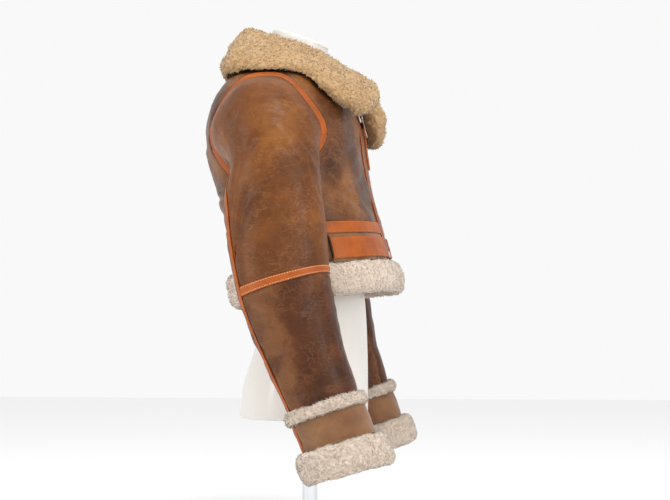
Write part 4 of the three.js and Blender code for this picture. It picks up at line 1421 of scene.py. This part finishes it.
def fleece(name, nodes, core, us, around, material, seed, lock_count, wrap_u=True, depth=1.2, size=6.0,
           sink=1.0, long=(3.0, 5.0), wide=(0.5, 0.85)):
    """A woolly closed body over a tube: core(u, v) gives its surface, closed along v, and around
    is its count of points that way. Its curls have a depth and a size, and the tube is sunk to
    make room for them. long and wide are the least and the most that a lock measures."""
    u, v = grid(us, full_turn(around))
    base = core(u, v)
    triangles = tube_triangles(np.arange(u.size).reshape(u.shape), wrap_u)
    if signed_volume(with_ends(base, wrap_u), triangles) < 0:
        triangles = triangles[:, ::-1]
    corners = with_ends(base, wrap_u)[triangles]
    faced = np.cross(corners[:, 1] - corners[:, 0], corners[:, 2] - corners[:, 0])
    normals = grid_normals(base, wrap_u, True)
    if (with_ends(normals, wrap_u)[triangles[:, 0]] * faced).sum() < 0:
        normals = -normals
    big = curls(warped(base, 3.0, seed), size, seed)
    small = curls(warped(base, 1.5, seed + 5), size * SMALL_SIZE, seed + 1)
    height = (depth * (BIG_CURLS * big + SMALL_CURLS * small) + LUMPS * waves(base, LUMP_SIZE, seed + 9)
              - sink)
    raised = base + normals * height[..., None]
    points = with_ends(raised, wrap_u)
    # Painted shade in the curls' hollows and painted light on their tops, following the curls' height
    tone_and_painted_light = with_ends((HOLLOW_PAINTED_SHADE + BIG_CURL_PAINTED_LIGHT * big + SMALL_CURL_PAINTED_LIGHT * small)[..., None], wrap_u)[:, 0]
    ways = with_ends(normals, wrap_u)
    rough = grid_normals(raised, wrap_u, True)
    rough = rough * np.sign((rough * normals).sum(axis=-1, keepdims=True))
    soft = with_ends(normals * 0.9 + rough, wrap_u)
    # A triangle is chosen in proportion to its area, and a place on it at random
    pick = np.random.default_rng(seed)
    corners = points[triangles]
    area = np.linalg.norm(np.cross(corners[:, 1] - corners[:, 0], corners[:, 2] - corners[:, 0]), axis=1)
    chosen = pick.choice(len(triangles), lock_count, p=area / area.sum())
    s, t = np.sort(pick.uniform(size=(2, lock_count, 1)), axis=0)
    spot = corners[chosen]
    roots = spot[:, 0] * s + spot[:, 1] * (t - s) + spot[:, 2] * (1 - t)
    up = ways[triangles[chosen, 0]]
    root_tone_and_painted_light = tone_and_painted_light[triangles[chosen, 0]] + pick.uniform(-TINT_SPREAD, TINT_SPREAD, lock_count)
    up_there = unit(up + WILD * pick.normal(size=up.shape))
    grown, lock_faces, lock_tone_and_painted_light, shine = locks(roots - up * 1.0, up_there, root_tone_and_painted_light, pick, long, wide)
    made = new_object(name, np.concatenate([points, grown]),
                      np.concatenate([triangles, lock_faces + len(points)]), material, nodes,
                      values={"tone_and_painted_light": np.concatenate([tone_and_painted_light, lock_tone_and_painted_light])},
                      normals=np.concatenate([soft, shine]))
    print(name, len(made.data.polygons), "triangles")


def end_shape(inwards, rounding):
    """The share of its full size that a round end has, some mm in; it never comes to a point."""
    near = np.minimum(inwards / rounding, 1)
    return np.sqrt(np.maximum(1 - (1 - near) ** 2, 0.06))


# %% [markdown]
# The collar is one thick band, folded over, that stands up round the neck and lies on the
# shoulders. Its ends are rounded, and the left end hangs lower, as in the photograph.

# %% Collar
COLLAR = columns("at topX topY topZ lowX lowY lowZ fat sag", [
    (0, 16, -114, 721, 62, -106, 688, 36, 48),
    (1, 37, -98, 739, 99, -91, 692, 38, 32),
    (2, 58, -63, 758, 132, -66, 709, 38, 14),
    (3, 76, -15, 784, 152, -12, 744, 37, 3),
    (4, 80, 34, 804, 156, 46, 754, 37, 0),
    (5, 66, 80, 820, 123, 108, 759, 37, 0),
    (6, 36, 93, 827, 67, 127, 760, 36, 0),
    (7, 0, 96, 828, 0, 132, 760, 36, 0),
])
COLLAR_REST, ROLL_REST = 4, 12  # mm that its foot stays clear of the body, and its roll more
COLLAR_AXIS_Y, COLLAR_RISE = 34, 30.0  # its face turns away from the neck, and a little upwards
TOP_SAGS, FAT_SHOWS = 0.7, 0.45  # shares of the sag at its top, and of its thickness in its height
PUSH = 0.5  # mm outwards at a time, until no point is too near the body
LAST = 14  # its right end is at 0, the middle of the back at 7 and its left end here


def inside_body(points, clear):
    """Whether each point is in the body, or nearer to it than some mm."""
    found = np.zeros(points.shape[:-1], bool)
    for drop in (0, clear):
        level = points[..., 2] - drop
        row = row_at(BODY, level)
        deep = np.where(points[..., 1] < row["mid"], row["front"], row["back"]) + clear
        share = (np.abs(points[..., 0] / (row["half"] + clear)) ** SQUARE
                 + np.abs((points[..., 1] - row["mid"]) / deep) ** SQUARE)
        found |= (level < BODY["z"][-1]) & (share < 1)
    return found


def collar_core(position, angle):
    inwards = np.minimum(position, LAST - position)
    side = np.where(position < LAST / 2, -1.0, 1.0)
    row = row_at(COLLAR, inwards)
    sag = np.where(side > 0, row["sag"], 0)
    top = stack(side * row["topX"], row["topY"], row["topZ"] - sag * TOP_SAGS)
    low = stack(side * row["lowX"], row["lowY"], row["lowZ"] - sag)
    full = end_shape(inwards, 0.8)
    middle = (top + low) / 2
    tall = np.linalg.norm(top - low, axis=-1) + row["fat"] * FAT_SHOWS
    across = unit(top - low)
    outward = unit(stack(middle[..., 0], middle[..., 1] - COLLAR_AXIS_Y, COLLAR_RISE))
    outward = unit(outward - across * (outward * across).sum(axis=-1, keepdims=True))
    c = signed_power(np.cos(np.radians(angle)), 0.8)
    s = signed_power(np.sin(np.radians(angle)), 0.85)
    points = (middle + across * (c * tall * full / 2)[..., None]
              + outward * (s * row["fat"] * full / 2)[..., None])
    clear = COLLAR_REST + np.maximum(s, 0) * ROLL_REST
    for _ in range(160):
        buried = inside_body(points, clear)
        if not buried.any():
            break
        points = points + outward * np.where(buried, PUSH, 0.0)[..., None]
    return points


fleece("collar_fleece", ["collar"], collar_core, np.linspace(0, LAST, 290), 100, HONEY_FLEECE,
       101, 12800, False, depth=3.2, size=8.0, sink=1.5, long=(3.4, 5.6), wide=(0.55, 0.95))

# %% [markdown]
# Round the hem and the cuffs the fleece is turned out as a narrow roll, so its section is round.

# %% Hem and cuff fleece
ROUND = 2 / 2.4  # the power of a roll's section


def roll_section(place, middle, tall, outer, inner, angle):
    c = signed_power(np.cos(np.radians(angle)), ROUND)
    s = signed_power(np.sin(np.radians(angle)), ROUND)
    return place(middle + c * tall / 2, (outer + inner) / 2 + s * (outer - inner) / 2)


HEM_Z, HEM_OUT, HEM_INTO, HEM_TALL = 414, 14, 12, 52
HEM_START = 1.5  # mm from the middle of the front


def hem_core(turn, angle):
    inwards = np.abs(body(turn, np.full(turn.shape, float(HEM_Z)))[..., 0])
    front_side = np.minimum(turn, 360 - turn) < 60
    full = np.where(front_side, end_shape(np.maximum(inwards - HEM_START, 0), 22), 1.0)
    return roll_section(lambda z, out: on_body(-1)(turn, z, out), HEM_Z, HEM_TALL * full, HEM_OUT * full,
                        -HEM_INTO * full, angle)


# Turns that crowd at the two ends, where the roll is round
near_edge = turn_at(np.array([HEM_START, 2.2, 3.2, 4.5, 6.2, 8.2, 10.4, 13, 16, 19]), HEM_Z)
even_from = float(turn_at(22, HEM_Z))
hem_turns = np.concatenate([near_edge, np.linspace(even_from, 360 - even_from, 430), 360 - near_edge[::-1]])
fleece("hem_fleece", ["hem_wool"], hem_core, hem_turns, 56, CREAM_FLEECE, 111, 13300, False,
       sink=1.4)

TRIM_AT, TRIM_OUT, TRIM_INTO, TRIM_TALL = 509, 9, 5, 19
CUFF_WOOL_AT, CUFF_WOOL_OUT, CUFF_WOOL_INTO, CUFF_WOOL_TALL = 588, 15, 9, 48


def sleeve_roll(place, at, out, into, tall):
    return lambda around, angle: roll_section(lambda v, o: place(around, v, o), at, tall, out, -into, angle)


for side, label in SIDES:
    fleece(f"cuff_trim_fleece_{label}", [f"cuff_trim_wool_{label}"],
           sleeve_roll(on_sleeve(side), TRIM_AT, TRIM_OUT, TRIM_INTO, TRIM_TALL), full_turn(150), 26,
           CREAM_FLEECE, 121, 4000, depth=2.0, size=7.0, sink=1.2, long=(3.4, 5.6))
    fleece(f"cuff_fleece_{label}", [f"cuff_wool_{label}"],
           sleeve_roll(flared(side), CUFF_WOOL_AT, CUFF_WOOL_OUT, CUFF_WOOL_INTO, CUFF_WOOL_TALL),
           full_turn(170), 60, CREAM_FLEECE, 131, 8600)

# %% [markdown]
# ## The dress form and its stand
# The form is a hard white shell: a general figure from the thighs to the neck, with no limbs. Its
# rows are the same as in the solids, walked in smaller steps. The pole and the base keep their
# solids, and only need their finish.

# %% Form and stand
FORM = columns("z half deep mid nod", [
    (198, 158, 103, 9, 0), (250, 160, 100, 6, 0), (310, 153, 90, -3, 0), (380, 138, 82, -8, 0),
    (450, 122, 78, -4, 0), (530, 134, 88, 12, 0), (610, 150, 96, 26, 0), (680, 152, 86, 36, 0),
    (725, 130, 70, 36, 0), (752, 84, 54, 34, 0.04), (775, 55, 49, 27, 0.14), (800, 50, 47, 20, 0.26),
    (824, 48, 46, 16, 0.33),
])


FORM_LOW, FORM_HIGH = 198, 824
RIM = 4  # the radius of the rounded rims of its two ends


def form_loop(z, shrink=0.0, drop=0.0):
    """One level of the form, drawn in and moved up for its rims."""
    turn = np.radians(full_turn(112))
    row = row_at(FORM, z)
    x = (row["half"] - shrink) * signed_power(np.sin(turn), OVAL)
    y = -(row["deep"] - shrink) * signed_power(np.cos(turn), OVAL)
    return stack(x, row["mid"] + y, z + drop + row["nod"] * y)


rim = [(RIM * (1 - math.sin(a)), RIM * (1 - math.cos(a))) for a in np.radians([0, 22, 45, 67, 90])]
loops = [form_loop(FORM_LOW, shrink) for shrink in (60.0, 20.0)]
loops += [form_loop(FORM_LOW, shrink, rise) for shrink, rise in rim]
loops += [form_loop(z) for z in np.linspace(FORM_LOW + 7, FORM_HIGH - 5, 110)]
loops += [form_loop(FORM_HIGH, shrink, -sunk) for sunk, shrink in rim]
loops += [form_loop(FORM_HIGH, shrink) for shrink in (14.0, 30.0)]
casting("form_body", ["form_torso"], loops, FORM_WHITE)


for node in ("form_pole", "form_base"):
    for slot in bpy.data.objects[node].material_slots:
        slot.material = CHROME
print("form done")

# %% [markdown]
# ## Floor and light
# A pale floor and a white sky, as in a photograph of goods on white. A soft light from above
# shows the creases across the sleeve, and two tall strips draw satin streaks down the leather.

# %% Stage and lights
def plain_floor(half=6.0):
    mesh = bpy.data.meshes.new("floor")
    corners = [(-half, -half, 0), (half, -half, 0), (half, half, 0), (-half, half, 0)]
    mesh.from_pydata(corners, [], [(0, 1, 2, 3)])
    made = bpy.data.objects.new("floor", mesh)
    mesh.materials.append(start_finish("pale floor", Roughness=0.9, Base_Color=linear("#f4f4f4"))[0])
    bpy.context.scene.collection.objects.link(made)


def area_light(name, place, aim, wide, tall, watts):
    light = bpy.data.lights.new(name, "AREA")
    light.shape = "RECTANGLE"
    light.size, light.size_y = wide, tall
    light.energy = watts
    made = bpy.data.objects.new(name, light)
    made.location = place
    way = np.array(aim, float) - np.array(place, float)
    flat = math.hypot(way[0], way[1])
    made.rotation_euler = (math.atan2(flat, -way[2]), 0, math.atan2(-way[0], way[1]))
    bpy.context.scene.collection.objects.link(made)


plain_floor()
MIDDLE = (0, 0, 0.5)
area_light("key", (-1.5, -0.5, 2.7), MIDDLE, 1.0, 1.0, 38)
area_light("front strip", (-1.6, -1.9, 0.9), MIDDLE, 0.25, 1.8, 16)
area_light("back strip", (-1.5, 2.0, 1.0), MIDDLE, 0.25, 1.8, 16)
world = bpy.data.worlds.new("pale sky")
world.use_nodes = True
sky = world.node_tree.nodes["Background"].inputs
sky["Color"].default_value = linear("#ffffff")
sky["Strength"].default_value = 0.95
bpy.context.scene.world = world
bpy.context.scene.view_settings.view_transform = "Standard"

# %% [markdown]
# ## Finish
# The number of triangles that the script added is printed. The visual model may reach only
# a few millimetres past the solids' box.

# %% Finish
total = sum(len(p.vertices) - 2 for o in bpy.data.objects if o.type == "MESH" and o.name not in frame["nodes"]
            for p in o.data.polygons)
print("triangles added:", total)
